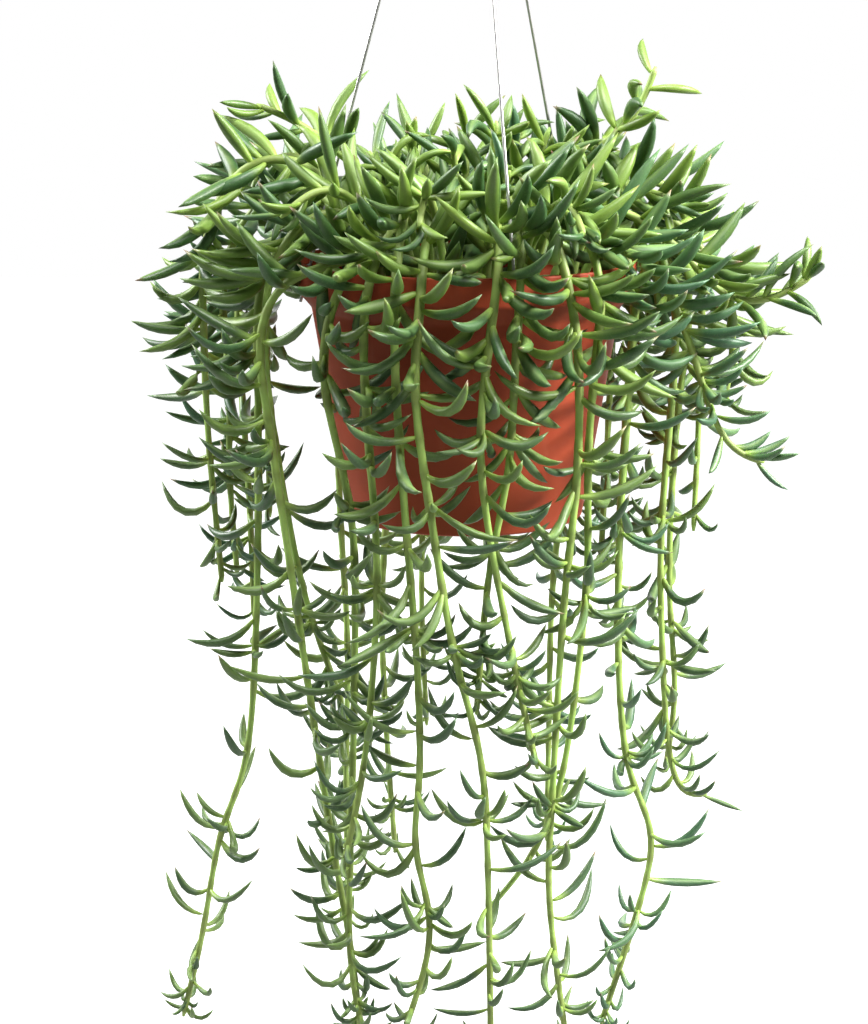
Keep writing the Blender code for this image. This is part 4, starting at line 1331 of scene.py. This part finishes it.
@dataclass(frozen=True)
class LeafRule:
    """How one pass over the stems spaces, sizes, turns and bends its leaves."""

    seed: int = 0
    station_seed: int = 3300
    shoot_spacing: float = 8.5
    crown_spacing: float = 16.5
    hanging_spacing: float = 46.0
    tip_spacing: float = 4.0
    tip_growth: float = 0.35
    play: Range = (0.6, 1.4)
    sizes: Range = (0.74, 1.1)
    upright_spread: Range = (46.0, 96.0)
    hanging_spread: Range = (38.0, 92.0)
    upright_curl: Range = (-0.9, 0.5)
    hanging_curl: Range = (0.9, 2.9)
    sweep: float = 0.6
    turn: float = 0.0
    crown_edge: float = -16.0
    lowest_spacing: float = 46.0
    clearance: float = 0.25
    tip_ease: float = 0.0
    tuft_gap: Range = (0.0, 0.0)
    tuft_leaves: int = 0
    tuft_size: float = 1.0
    openings: tuple[tuple[Range, Range], ...] = ()

    def closes_opening(self, axis: np.ndarray) -> bool:
        """Whether a leaf's axis would close one of the openings, as the camera sees them.

        A point's height in the picture is its height plus its depth times the slope of the view.

        Args:
            axis: Points of the leaf's axis.

        Returns:
            True if any point lies in an opening.
        """
        seen = axis[:, 2] + axis[:, 1] * SIGHT_SLOPE
        return any(((axis[:, 0] > left) & (axis[:, 0] < right) & (seen > low) & (seen < high)).any()
                   for (left, right), (low, high) in self.openings)


FIRST_PASS = LeafRule()
FILL_PASS = LeafRule(seed=500_000, station_seed=6600, shoot_spacing=5.6, crown_spacing=4.8,
                     hanging_spacing=17.0, tip_spacing=2.2, tip_growth=0.16, play=(0.25, 1.9),
                     sizes=(0.8, 1.24), upright_spread=(60.0, 130.0), hanging_spread=(28.0, 100.0),
                     upright_curl=(-2.6, 1.0), hanging_curl=(0.5, 3.2), sweep=2.0, turn=68.0,
                     crown_edge=-30.0, lowest_spacing=5.0, clearance=-0.7, tip_ease=2.4,
                     tuft_gap=(45.0, 130.0), tuft_leaves=5, tuft_size=0.68,
                     openings=(((-86.0, -64.0), (-74.0, -15.0)), ((-80.0, -56.0), (-127.0, -74.0)),
                               ((86.0, 135.0), (34.0, 60.0)), ((116.0, 136.0), (2.0, 34.0)),
                               ((-150.0, -129.0), (-4.0, 32.0)), ((101.0, 117.0), (-122.0, -76.0))))


@dataclass
class Plant:
    """The whole plant: its stems settle clear of each other, and two passes grow their leaves."""

    pot: Pot
    soil: SoilBed
    hanger: Hanger
    corners: tuple[np.ndarray, np.ndarray]

    # Roots, paths and how the stems keep clear of each other
    root_depth: float = 8.0
    root_rise: float = 6.0
    root_spacing: float = 10.5
    root_reach: float = 54.0
    root_rings: Range = (51.0, 38.0)
    root_inset: float = 0.85
    root_easing: float = 0.3
    path_step: float = 5.0
    stem_clearance: float = 1.2
    settle_rounds: int = 30
    easing: float = 0.15

    # Seeded routes at the back, in the crown and over the rim
    back_seed: int = 7100
    back_sway: float = 4.0
    back_turn: float = 3.0
    back_start: float = 48.0
    back_step: float = 60.0
    back_draw_in: float = 0.02
    crown_seed: int = 4200
    crown_shoots: int = 12
    crown_root_circle: float = 27.0
    crown_spread: float = 2.0
    crown_height: float = 66.0
    crown_fall: float = 0.36
    crown_leans: Range = (0.9, 1.1)
    crown_tops: Range = (0.88, 1.08)
    rim_seed: int = 5600
    rim_shoots: int = 8
    rim_first: float = 10.0
    rim_reach: float = 96.0
    rim_crest: float = 36.0
    rim_nod: float = 14.0
    rim_turn: float = 7.0
    rim_bend: float = 8.0
    rim_reaches: Range = (0.9, 1.06)
    rim_crests: Range = (0.7, 1.3)

    # Size and form of the leaves, and how they change with age and with height
    leaf_length: float = 44.0
    leaf_radius: float = 3.7
    leaf_widest: float = 0.45
    leaf_neck: float = 0.32
    leaf_rise: float = 2.4
    leaf_fall: float = 2.1
    leaf_bend: float = 1.3
    length_loss: Range = (0.14, 0.18)
    radius_loss: Range = (0.2, 0.2)
    radius_play: Range = (0.9, 1.08)
    young_length: Range = (0.55, 0.45)
    young_radius: Range = (0.6, 0.4)
    young_spread: Range = (0.5, 0.5)
    young_stretch: float = 60.0
    curl_by_height: Range = (0.6, 0.8)
    lowest: float = 320.0

    # Where leaves grow, and how they are fitted in
    first_leaf: float = 24.0
    last_leaf: float = 3.0
    crown_band: float = 22.0
    lowest_band: Range = (-180.0, -300.0)
    leaf_tries: int = 16
    leaf_shift: float = 27.0
    leaf_capsules: int = 4
    turn_play: float = 20.0
    later_size: float = 0.8
    least_tilt: float = 0.4
    soil_clearance: float = 0.5

    # Finer surfaces of the leaves and stems
    leaf_rings: tuple[float, ...] = (0.0, 0.07, 0.17, 0.30, 0.44, 0.58, 0.72, 0.86, 1.0)
    leaf_sides: int = 8
    fine_shares: Range = (0.96, 0.86)
    fine_band: Range = (-90.0, -10.0)
    fine_widest: float = 0.5
    fine_neck: float = 0.26
    fine_rise: float = 1.8
    leaf_flatness: float = 0.86
    groove_depth: float = 0.14
    groove_width: float = 0.42
    groove_tilt: float = 0.7
    groove_sway: float = 0.5
    stem_sides: int = 8
    stem_step: float = 3.0
    scar_reach: float = 3.2
    scar_swell: Range = (0.9, 0.16)
    looks_seed: int = 9_000_000
    blue_share: float = 0.22
    stems: list[Stem] = field(default_factory=list)

    def root_of(self, target: Sequence[float], ring: int) -> np.ndarray:
        """Place of a stem's root in the soil: on a ring, in the direction that the stem goes.

        Args:
            target: First point of the stem's route.
            ring: Number of the ring, which goes round the rings in turn.

        Returns:
            Place of the root at a height of 0.
        """
        flat = np.array([target[0], target[1], 0.0])
        reach = np.linalg.norm(flat) * self.root_inset
        return unit(flat) * min(self.root_rings[ring % len(self.root_rings)], reach)

    def spread_roots(self, roots: Sequence[np.ndarray]) -> np.ndarray:
        """Moves the roots apart where two are closer than their spacing, and keeps them in the pot.

        Args:
            roots: Places of the roots.

        Returns:
            The places after all rounds.
        """
        roots = np.array(roots)
        for _ in range(self.settle_rounds):
            offsets = roots[:, None, :] - roots[None, :, :]
            gaps = np.linalg.norm(offsets, axis=2)
            lack = np.where(gaps > 0.0, np.clip(self.root_spacing - gaps, 0.0, None), 0.0)
            ways = offsets / np.maximum(gaps, 1e-6)[:, :, None]
            roots += (ways * lack[:, :, None]).sum(axis=1) * self.root_easing
            reach = np.linalg.norm(roots, axis=1)
            roots *= np.minimum(1.0, self.root_reach / np.maximum(reach, 1e-6))[:, None]
        return roots

    def rooted(self, root: np.ndarray, route: Sequence) -> Route:
        """Route with its straight start: down in the soil, then upright out of it.

        Args:
            root: Place of the root.
            route: Points that the stem passes through.

        Returns:
            The whole route.
        """
        top = self.soil.top
        heights = (top - self.root_depth, top + self.root_rise, top + self.root_rise * 2)
        return [(root[0], root[1], height) for height in heights] + [tuple(point) for point in route]

    def back_route(self, azimuth: float, reach: float, crest: float, tip: float) -> list[np.ndarray]:
        """Route of a stem at the back: up, over the rim, and down with a slight sway.

        Args:
            azimuth: Direction of the stem.
            reach: Distance from the pot's axis at the rim.
            crest: Height of the arch over the rim.
            tip: Height of the tip.

        Returns:
            Points of the route.
        """
        draw = random.Random(self.back_seed + azimuth)
        sway = draw.uniform(-self.back_sway, self.back_sway)
        heights = [(0.68, crest - 6), (0.86, crest), (1.0, -8), (1.02, -self.back_start)]
        route = [polar(azimuth + sway * share, reach * share, height) for share, height in heights]
        fall = tip + self.back_start
        count = max(int(-fall / self.back_step), 1)
        for index in range(1, count + 1):
            turn = azimuth + sway + draw.uniform(-self.back_turn, self.back_turn)
            drawn_in = reach * (1.0 - self.back_draw_in * index)
            route.append(polar(turn, drawn_in, -self.back_start + fall * index / count))
        return route

    def crown_route(self, index: int) -> tuple[np.ndarray, list[np.ndarray]]:
        """Root and route of a shoot in the crown: in a sunflower pattern, leaning out as it rises.

        Args:
            index: Number of the shoot.

        Returns:
            Place of the root, and points of the route.
        """
        draw = random.Random(self.crown_seed + index)
        share = math.sqrt((index + 0.5) / self.crown_shoots)
        azimuth = index * GOLDEN_TURN
        foot = self.crown_root_circle * share
        lean = foot * self.crown_spread * draw.uniform(*self.crown_leans)
        top = self.crown_height * draw.uniform(*self.crown_tops) - self.crown_fall * lean
        route = [polar(azimuth, foot + (lean - foot) * 0.3, top * 0.35),
                 polar(azimuth, foot + (lean - foot) * 0.7, top * 0.78), polar(azimuth, lean, top)]
        return polar(azimuth, foot), route

    def rim_route(self, index: int) -> list[np.ndarray]:
        """Route of a shoot that leans out over the rim and nods a little at its tip.

        Args:
            index: Number of the shoot.

        Returns:
            Points of the route.
        """
        draw = random.Random(self.rim_seed + index)
        azimuth = self.rim_first + index * 360.0 / self.rim_shoots
        azimuth += draw.uniform(-self.rim_turn, self.rim_turn)
        reach = self.rim_reach * draw.uniform(*self.rim_reaches)
        crest = self.rim_crest * draw.uniform(*self.rim_crests)
        bend = draw.uniform(-self.rim_bend, self.rim_bend)
        return [polar(azimuth, reach * 0.6, crest * 0.7), polar(azimuth + bend * 0.4, reach * 0.8, crest),
                polar(azimuth + bend, reach, crest - self.rim_nod)]

    def lay_routes(self) -> None:
        """Gives every stem its first smooth path, in a fixed order."""
        routes: dict[str, Sequence] = dict(TRAILS)
        for number, trail in enumerate(BACK_TRAILS, start=1):
            routes["stem_back_%d" % number] = self.back_route(*trail)
        for index in range(self.rim_shoots):
            routes["shoot_rim_%d" % (index + 1)] = self.rim_route(index)
        roots = [self.root_of(route[0], ring) for ring, route in enumerate(routes.values())]
        for index in range(self.crown_shoots):
            root, route = self.crown_route(index)
            roots.append(root)
            routes["shoot_crown_%d" % (index + 1)] = route
        for root, (name, route) in zip(self.spread_roots(roots), routes.items()):
            habit = Habit.TRAIL if name.startswith("stem") else Habit.SHOOT
            self.stems.append(Stem(name, smooth_path(self.rooted(root, route), self.path_step), habit))

    def settle(self) -> None:
        """Bends the stems clear of each other, of the pot and of the wires, a little in each round."""
        stems = self.stems
        owners = np.concatenate([np.full(len(stem.path), index) for index, stem in enumerate(stems)])
        points = np.concatenate([stem.path for stem in stems])
        radii = np.concatenate([stem.radius_at(stem.lengths()) for stem in stems])
        free = np.concatenate([np.arange(len(stem.path)) >= stem.foot() for stem in stems])
        starts = np.flatnonzero(np.diff(np.concatenate([[-1], owners])))
        inner = np.ones(len(points), dtype=bool)
        inner[starts] = False
        inner[np.concatenate([starts[1:] - 1, [len(points) - 1]])] = False
        wires = np.concatenate([smooth_path(self.hanger.wire_path(azimuth)[4:6], self.path_step)
                                for azimuth in self.hanger.azimuths])
        for _ in range(self.settle_rounds):
            push = self.stem_pushes(points, radii, owners)
            for index, point in enumerate(points):
                gaps = np.linalg.norm(wires - point, axis=1)
                nearest = int(np.argmin(gaps))
                need = math.hypot(radii[index] + self.hanger.wire + self.stem_clearance, self.path_step / 2)
                if gaps[nearest] < need:
                    push[index] += unit(point - wires[nearest]) * (need - gaps[nearest])
            misses, way = self.pot.misses(points)
            lack = np.clip(radii + self.stem_clearance - misses, 0.0, None)
            flat = points[:, :2] / np.maximum(np.hypot(points[:, 0], points[:, 1]), 1e-6)[:, None]
            push[:, :2] += flat * (way[:, :1] * lack[:, None])
            push[:, 2] += way[:, 1] * lack
            push[~free] = 0.0
            points = points + push
            middle = (np.roll(points, 1, axis=0) + np.roll(points, -1, axis=0)) / 2
            eased = inner & free
            points[eased] += (middle[eased] - points[eased]) * self.easing
        for index, stem in enumerate(stems):
            stem.path = points[owners == index]

    def stem_pushes(self, points: np.ndarray, radii: np.ndarray, owners: np.ndarray) -> np.ndarray:
        """Pushes between points of two stems that are too close.

        Args:
            points: Points of all the paths.
            radii: Stem radius at each.
            owners: Number of the stem that each belongs to.

        Returns:
            One push a point.
        """
        reach = 2 * Stem.base_radius + self.stem_clearance + self.path_step / 2
        push = np.zeros_like(points)
        tree = KDTree(len(points))
        for index, point in enumerate(points):
            tree.insert(point, index)
        tree.balance()
        for index, point in enumerate(points):
            for _, other, distance in tree.find_range(point, reach):
                need = radii[index] + radii[other] + self.stem_clearance
                need = math.hypot(need, self.path_step / 2)
                if owners[other] != owners[index] and distance < need:
                    push[index] += unit(point - points[other]) * (need - distance) * 0.5
        return push

    def capsule_swells(self) -> np.ndarray:
        """Greatest share of the leaf's radius within each capsule that stands for the leaf.

        Returns:
            One share a capsule.
        """
        places = np.linspace(0.0, 1.0, self.leaf_capsules + 1)
        swell = boat_width(places, self.leaf_widest, self.leaf_neck, self.leaf_rise, self.leaf_fall)
        return np.maximum(swell[:-1], swell[1:])

    def leaf_axis(self, root: np.ndarray, heading: np.ndarray, length: float, curl: float,
                  sweep: float) -> np.ndarray:
        """Points of a bent leaf axis: it leaves along heading, then curls up or down and sweeps aside.

        At a share s of the length its direction is the heading plus the pull times s to the power of
        the bend.

        Args:
            root: Where it starts.
            heading: First direction.
            length: Length of the leaf.
            curl: Pull upwards at the tip.
            sweep: Pull to the side at the tip.

        Returns:
            The points.
        """
        count = self.leaf_capsules * AXIS_PARTS
        shares = (np.arange(count) + 0.5) / count
        pull = np.array([0.0, 0.0, curl]) + unit(np.cross(heading, [0.0, 0.0, 1.0])) * sweep
        ways = heading[None, :] + np.outer(shares ** self.leaf_bend, pull)
        ways /= np.linalg.norm(ways, axis=1)[:, None]
        return np.vstack([root, root + np.cumsum(ways, axis=0) * length / count])

    def stations(self, stem: Stem, owner: int, rule: LeafRule) -> list[Station]:
        """Uneven distances along a stem where its leaves grow, closer in the crown and at the tip.

        Args:
            stem: The stem.
            owner: The stem's number.
            rule: The pass's rule.

        Returns:
            The stations, with a tuft of small leaves at some of them.
        """
        draw = random.Random(rule.station_seed + owner)
        lengths = stem.lengths()
        along = self.first_leaf
        tuft = along + draw.uniform(*rule.tuft_gap) if rule.tuft_leaves else math.inf
        found = []
        while along < lengths[-1] - self.last_leaf:
            found.append(Station(along, 1.0))
            height = np.interp(along, lengths, stem.path[:, 2])
            low = float(np.clip((rule.crown_edge - height) / self.crown_band, 0.0, 1.0))
            lowest = float(np.interp(-height, [-bound for bound in self.lowest_band], [0.0, 1.0]))
            if along > tuft:
                if low > 0.5:
                    found += [Station(along + index, rule.tuft_size) for index in range(rule.tuft_leaves)]
                tuft = along + draw.uniform(*rule.tuft_gap)
            hanging = rule.hanging_spacing * (1.0 - lowest) + rule.lowest_spacing * lowest
            spacing = rule.crown_spacing * (1.0 - low) + hanging * low
            if stem.habit is Habit.SHOOT:
                spacing = rule.shoot_spacing
            nearing = rule.tip_spacing + (lengths[-1] - along) * rule.tip_growth
            along += min(spacing, nearing) * draw.uniform(*rule.play)
        return found

    def try_leaf(self, stem: Stem, owner: int, station: Station, number: int, crowd: Crowd,
                 frames: tuple[np.ndarray, np.ndarray, np.ndarray], rule: LeafRule) -> Leaf | None:
        """Grows one leaf at a station, turned from its first direction until it's clear of the rest.

        Args:
            stem: The stem.
            owner: The stem's number.
            station: Where the leaf grows.
            number: Number of the station.
            crowd: What the leaf keeps clear of.
            frames: Tangents, sides and lifts of the stem.
            rule: The pass's rule.

        Returns:
            The leaf, or None if no direction is free.
        """
        lengths = stem.lengths()
        along = station.along
        root = stem.point_at(along)
        index = int(np.clip(np.searchsorted(lengths, along), 0, len(lengths) - 1))
        tangent, side, lift = (frame[index] for frame in frames)
        draw = random.Random(rule.seed + owner * 1000 + number)
        hanging = np.clip(-tangent[2] * 0.5 + 0.5, 0.0, 1.0)
        age = np.clip((lengths[-1] - along) / self.young_stretch, 0.0, 1.0)
        low = np.clip(-root[2] / self.lowest, 0.0, 1.0)
        shorter = 1.0 - self.length_loss[0] * hanging - self.length_loss[1] * low
        slimmer = 1.0 - self.radius_loss[0] * hanging - self.radius_loss[1] * low
        grown = self.young_length[0] + self.young_length[1] * age
        length = self.leaf_length * shorter * draw.uniform(*rule.sizes) * grown
        grown = self.young_radius[0] + self.young_radius[1] * age
        radius = self.leaf_radius * slimmer * draw.uniform(*self.radius_play) * grown
        spread = draw.uniform(*rule.upright_spread) * (1.0 - hanging)
        spread += draw.uniform(*rule.hanging_spread) * hanging
        spread = math.radians(spread) * (self.young_spread[0] + self.young_spread[1] * age)
        hook = draw.uniform(*rule.hanging_curl) * (self.curl_by_height[0] + self.curl_by_height[1] * low)
        curl = draw.uniform(*rule.upright_curl) * (1.0 - hanging) + hook * hanging
        turn = number * GOLDEN_TURN + draw.uniform(-self.turn_play, self.turn_play) + rule.turn
        sweep = draw.uniform(-rule.sweep, rule.sweep)
        length *= station.size
        radius *= math.sqrt(station.size)
        capsules = radius * self.capsule_swells()
        clearance = rule.clearance - rule.tip_ease * (1.0 - age)
        for attempt in range(self.leaf_tries):
            shift = (attempt + 1) // 2 * self.leaf_shift * (1 if attempt % 2 else -1)
            size = 1.0 if attempt < self.leaf_tries * 2 // 3 else self.later_size
            angle = math.radians(turn + shift)
            tilt = spread * (1.0 - self.least_tilt * attempt / self.leaf_tries)
            outward = side * math.cos(angle) + lift * math.sin(angle)
            heading = tangent * math.cos(tilt) + outward * math.sin(tilt)
            axis = self.leaf_axis(root, heading, length * size, curl, sweep)
            outside = (axis < self.corners[0]).any() or (axis > self.corners[1]).any()
            if outside or rule.closes_opening(axis):
                continue
            misses, _ = self.pot.misses(axis)
            if (misses < radius + FIRST_PASS.clearance).any():
                continue
            if (axis[1:, 2] - radius < self.soil.height_under(axis[1:]) + self.soil_clearance).any():
                continue
            if crowd.clear(axis[::AXIS_PARTS], capsules, owner, clearance):
                return self.finished_leaf(axis, radius, tangent, rule.seed + owner * 1000 + number)
        return None

    def finished_leaf(self, axis: np.ndarray, radius: float, tangent: np.ndarray, seed: int) -> Leaf:
        """Leaf with its own tones, whose groove faces up and towards its stem, a little at random.

        Args:
            axis: Points of its axis.
            radius: Its greatest radius.
            tangent: Way that its stem goes.
            seed: Seed of its looks.

        Returns:
            The leaf.
        """
        draw = random.Random(self.looks_seed + seed)
        heading = unit(axis[1] - axis[0])
        away = unit(heading - tangent * (heading @ tangent))
        sway = np.array([draw.uniform(-self.groove_sway, self.groove_sway) for _ in range(3)])
        facing = np.array([0.0, 0.0, 1.0]) - away * self.groove_tilt + sway
        return Leaf(axis, radius, unit(facing), draw.random(), draw.random() ** 3)

    def grow(self) -> None:
        """Lays and settles the stems, grows the first leaves and then fills in between them."""
        self.lay_routes()
        self.settle()
        crowd = Crowd()
        for azimuth in self.hanger.azimuths:
            points = np.array(self.hanger.wire_path(azimuth))
            crowd.add(points, np.full(len(points) - 1, self.hanger.wire), -1)
        frames = []
        for owner, stem in enumerate(self.stems):
            keep = stem.kept()
            radii = stem.radius_at(stem.lengths()[keep])
            crowd.add(stem.path[keep], radii[:-1] + stem.tolerance, owner)
            frames.append(turning_frames(stem.path))
        for rule in (FIRST_PASS, FILL_PASS):
            self.leaf_pass(crowd, frames, rule)
            LOG.info("%d leaves", sum(len(stem.leaves) for stem in self.stems))

    def leaf_pass(self, crowd: Crowd, frames: Sequence, rule: LeafRule) -> None:
        """Grows every stem's leaves in turn, one station of each stem at a time.

        Args:
            crowd: What the leaves keep clear of; it grows with them.
            frames: Frames of each stem's path.
            rule: The pass's rule.
        """
        places = [self.stations(stem, owner, rule) for owner, stem in enumerate(self.stems)]
        swells = self.capsule_swells()
        for number in range(max(len(found) for found in places)):
            for owner, stem in enumerate(self.stems):
                if number >= len(places[owner]):
                    continue
                station = places[owner][number]
                leaf = self.try_leaf(stem, owner, station, number, crowd, frames[owner], rule)
                if leaf:
                    leaf.blue = 1.0 if random.Random(owner).random() < self.blue_share else 0.0
                    stem.leaves.append(leaf)
                    crowd.add(leaf.axis[::AXIS_PARTS], leaf.radius * swells, owner)

    def stem_surface(self, stem: Stem) -> Surface:
        """Round stem that swells a little where a leaf joins it.

        The radius at each point is the stem's own plus a bell curve for every leaf.

        Args:
            stem: The stem.

        Returns:
            Its surface, painted with the place along it and its leaf scars.
        """
        path = smooth_path(stem.path, self.stem_step)
        gone = np.concatenate([[0.0], np.cumsum(np.linalg.norm(np.diff(path, axis=0), axis=1))])
        joints = np.array([leaf.axis[0] for leaf in stem.leaves]).reshape(-1, 3)
        nearest = np.linalg.norm(path[:, None, :] - joints[None, :, :], axis=2)
        scars = np.clip(np.exp(-(nearest / self.scar_reach) ** 2).sum(axis=1), 0.0, 1.0)
        swell = self.scar_swell[0] + self.scar_swell[1] * scars
        radii = stem.radius_at(gone * stem.lengths()[-1] / gone[-1]) * swell
        radii[-1] *= 0.5
        surface = swept(path, radii, self.stem_sides)
        shape = (1, len(path), self.stem_sides)
        share = gone / gone[-1]
        surface.paint["along"] = on_points(np.broadcast_to(share[None, :, None], shape), 0.0, 1.0)
        surface.paint["scar"] = on_points(np.broadcast_to(scars[None, :, None], shape), scars[0], scars[-1])
        surface.finish = 1
        return surface

    def leaf_surface(self, leaves: Sequence[Leaf]) -> Surface:
        """Banana-shaped leaves: rings of a slightly flattened circle with a faint groove along the top.

        A ring's point at an angle lies at the leaf's width times the cosine to its side, and at a
        flattened share of it times the sine along its lift; the groove takes some off at the top.

        Args:
            leaves: The leaves.

        Returns:
            One surface with all of them, painted with their tones.
        """
        axes = np.stack([leaf.axis for leaf in leaves])
        shares = np.array(self.leaf_rings)
        knots = np.linspace(0.0, 1.0, axes.shape[1])
        weights = np.stack([np.interp(shares, knots, row) for row in np.eye(len(knots))], axis=1)
        spine = np.einsum("rk,nkc->nrc", weights, axes)
        tangents = units(np.gradient(spine, axis=1))
        facing = np.stack([leaf.facing for leaf in leaves])[:, None, :]
        side = units(np.cross(np.broadcast_to(facing, tangents.shape), tangents))
        lift = np.cross(tangents, side)
        angles = np.linspace(0.0, 2.0 * math.pi, self.leaf_sides, endpoint=False)
        groove = np.exp(-((angles - math.pi / 2) / self.groove_width) ** 2)
        body = boat_width(shares, self.fine_widest, self.fine_neck, self.fine_rise, self.leaf_fall)[1:-1]
        depth = self.groove_depth * body
        share = np.interp(axes[:, 0, 2], self.fine_band, self.fine_shares[::-1])
        radii = (share * np.array([leaf.radius for leaf in leaves]))[:, None, None] * body[None, :, None]
        kept = 1.0 - depth[None, :, None] * groove[None, None, :]
        lifts = self.leaf_flatness * np.sin(angles)[None, None, :] * kept
        across = np.cos(angles)[None, None, :]
        rings = (spine[:, 1:-1, None, :] + (radii * across)[..., None] * side[:, 1:-1, None, :]
                 + (radii * lifts)[..., None] * lift[:, 1:-1, None, :])
        surface = tubes(spine[:, 0], rings, spine[:, -1])
        shape = rings.shape[:3]
        surface.paint["along"] = on_points(np.broadcast_to(shares[None, 1:-1, None], shape), 0.0, 1.0)
        surface.paint["groove"] = on_points(np.broadcast_to(groove[None, None, :], shape), 0.0, 0.0)
        for label in ("tone", "dry", "blue"):
            values = np.array([getattr(leaf, label) for leaf in leaves])
            surface.paint[label] = on_points(np.broadcast_to(values[:, None, None], shape), values, values)
        return surface

    def build(self) -> None:
        """Makes one piece for each leafy stem."""
        finishes = [LeafSkin().make(), StemSkin().make()]
        for stem in self.stems:
            surfaces = [self.stem_surface(stem)]
            if stem.leaves:
                surfaces.append(self.leaf_surface(stem.leaves))
            make_piece(stem.name + "_grown", surfaces, finishes, [stem.name])


@dataclass(frozen=True)
class SoftBox:
    """Rectangular light: where it stands, its size and its power."""

    name: str
    place: tuple[float, float, float]
    size: Range
    watts: float
    tint: Colour = (1.0, 1.0, 1.0)

    def build(self, target: Vector) -> None:
        """Makes the light, turned towards a target.

        Args:
            target: Point that it shines at.
        """
        light = bpy.data.lights.new(self.name, "AREA")
        light.shape = "RECTANGLE"
        light.size, light.size_y = self.size
        light.energy = self.watts
        light.color = self.tint
        aim(new_object(self.name, light), Vector(self.place), target)


@dataclass
class Studio:
    """White studio: the camera at the photograph's angle, soft boxes, a bright surround and a pale floor."""

    target: tuple[float, float, float] = (-0.014, 0.0, -0.414)
    distance: float = 1.2
    pitch: float = 12.0
    lens: float = 94.18
    sensor: float = 36.0
    floor_height: float = -0.80
    floor_reach: float = 4.0
    surround: float = 0.07
    boxes: tuple[SoftBox, ...] = (
        SoftBox("key_box", (1.15, -0.18, 0.30), (0.4, 0.4), 52.0, (1.0, 0.985, 0.96)),
        SoftBox("top_box", (0.20, -0.50, 0.95), (0.55, 0.55), 34.0),
        SoftBox("left_box", (-0.95, 0.32, 0.20), (0.6, 0.6), 25.0),
        SoftBox("back_box", (0.3, 1.5, -0.2), (1.6, 1.0), 14.0),
    )

    def build_camera(self) -> None:
        """Makes the scene's camera, which looks down at the target as the photograph's does."""
        camera = bpy.data.cameras.new("camera")
        camera.lens = self.lens
        camera.sensor_width = self.sensor
        camera.sensor_height = self.sensor
        camera.sensor_fit = "VERTICAL"
        camera.clip_start = 0.01
        camera.clip_end = 200.0
        made = new_object("camera", camera)
        fall = math.radians(self.pitch)
        target = Vector(self.target)
        aim(made, target + Vector((0.0, -math.cos(fall), math.sin(fall))) * self.distance, target)
        bpy.context.scene.camera = made

    def build_floor(self) -> None:
        """Makes the pale floor, which isn't part of the object."""
        reach = self.floor_reach
        mesh = bpy.data.meshes.new("studio_floor")
        corners = [(-reach, -reach), (reach, -reach), (reach, reach), (-reach, reach)]
        mesh.from_pydata([(x, y, self.floor_height) for x, y in corners], [], [(0, 1, 2, 3)])
        mesh.materials.append(StudioPaper().make())
        floor = new_object("studio_floor", mesh)

    def build_surround(self) -> None:
        """Gives the world its even light, and the camera a white ground behind the object."""
        sheet = NodeSheet(bpy.data.worlds.new("surround"), "Background")
        seen = sheet.add("ShaderNodeLightPath", output="Is Camera Ray")
        bpy.context.scene.world = sheet.shade(Color=(1.0, 1.0, 1.0),
                                              Strength=seen * (1.0 - self.surround) + self.surround)

    def build(self) -> None:
        """Builds the camera, the floor, the surround and the lights."""
        self.build_camera()
        self.build_floor()
        self.build_surround()
        for box in self.boxes:
            box.build(Vector(self.target))
        bpy.context.scene.view_settings.view_transform = "Standard"


def main() -> None:
    """Builds the studio, the pot, the soil, the hanger and the plant."""
    logging.basicConfig(level=logging.INFO, format="%(message)s")
    Studio().build()
    pot = Pot()
    soil = SoilBed(pot)
    hanger = Hanger(pot)
    plant = Plant(pot, soil, hanger, (unplaced(cad_box[0]) - OVERHANG, unplaced(cad_box[1]) + OVERHANG))
    pot.build(hanger.azimuths)
    soil.build()
    hanger.build()
    plant.grow()
    plant.build()


if __name__ == "__main__":
    main()
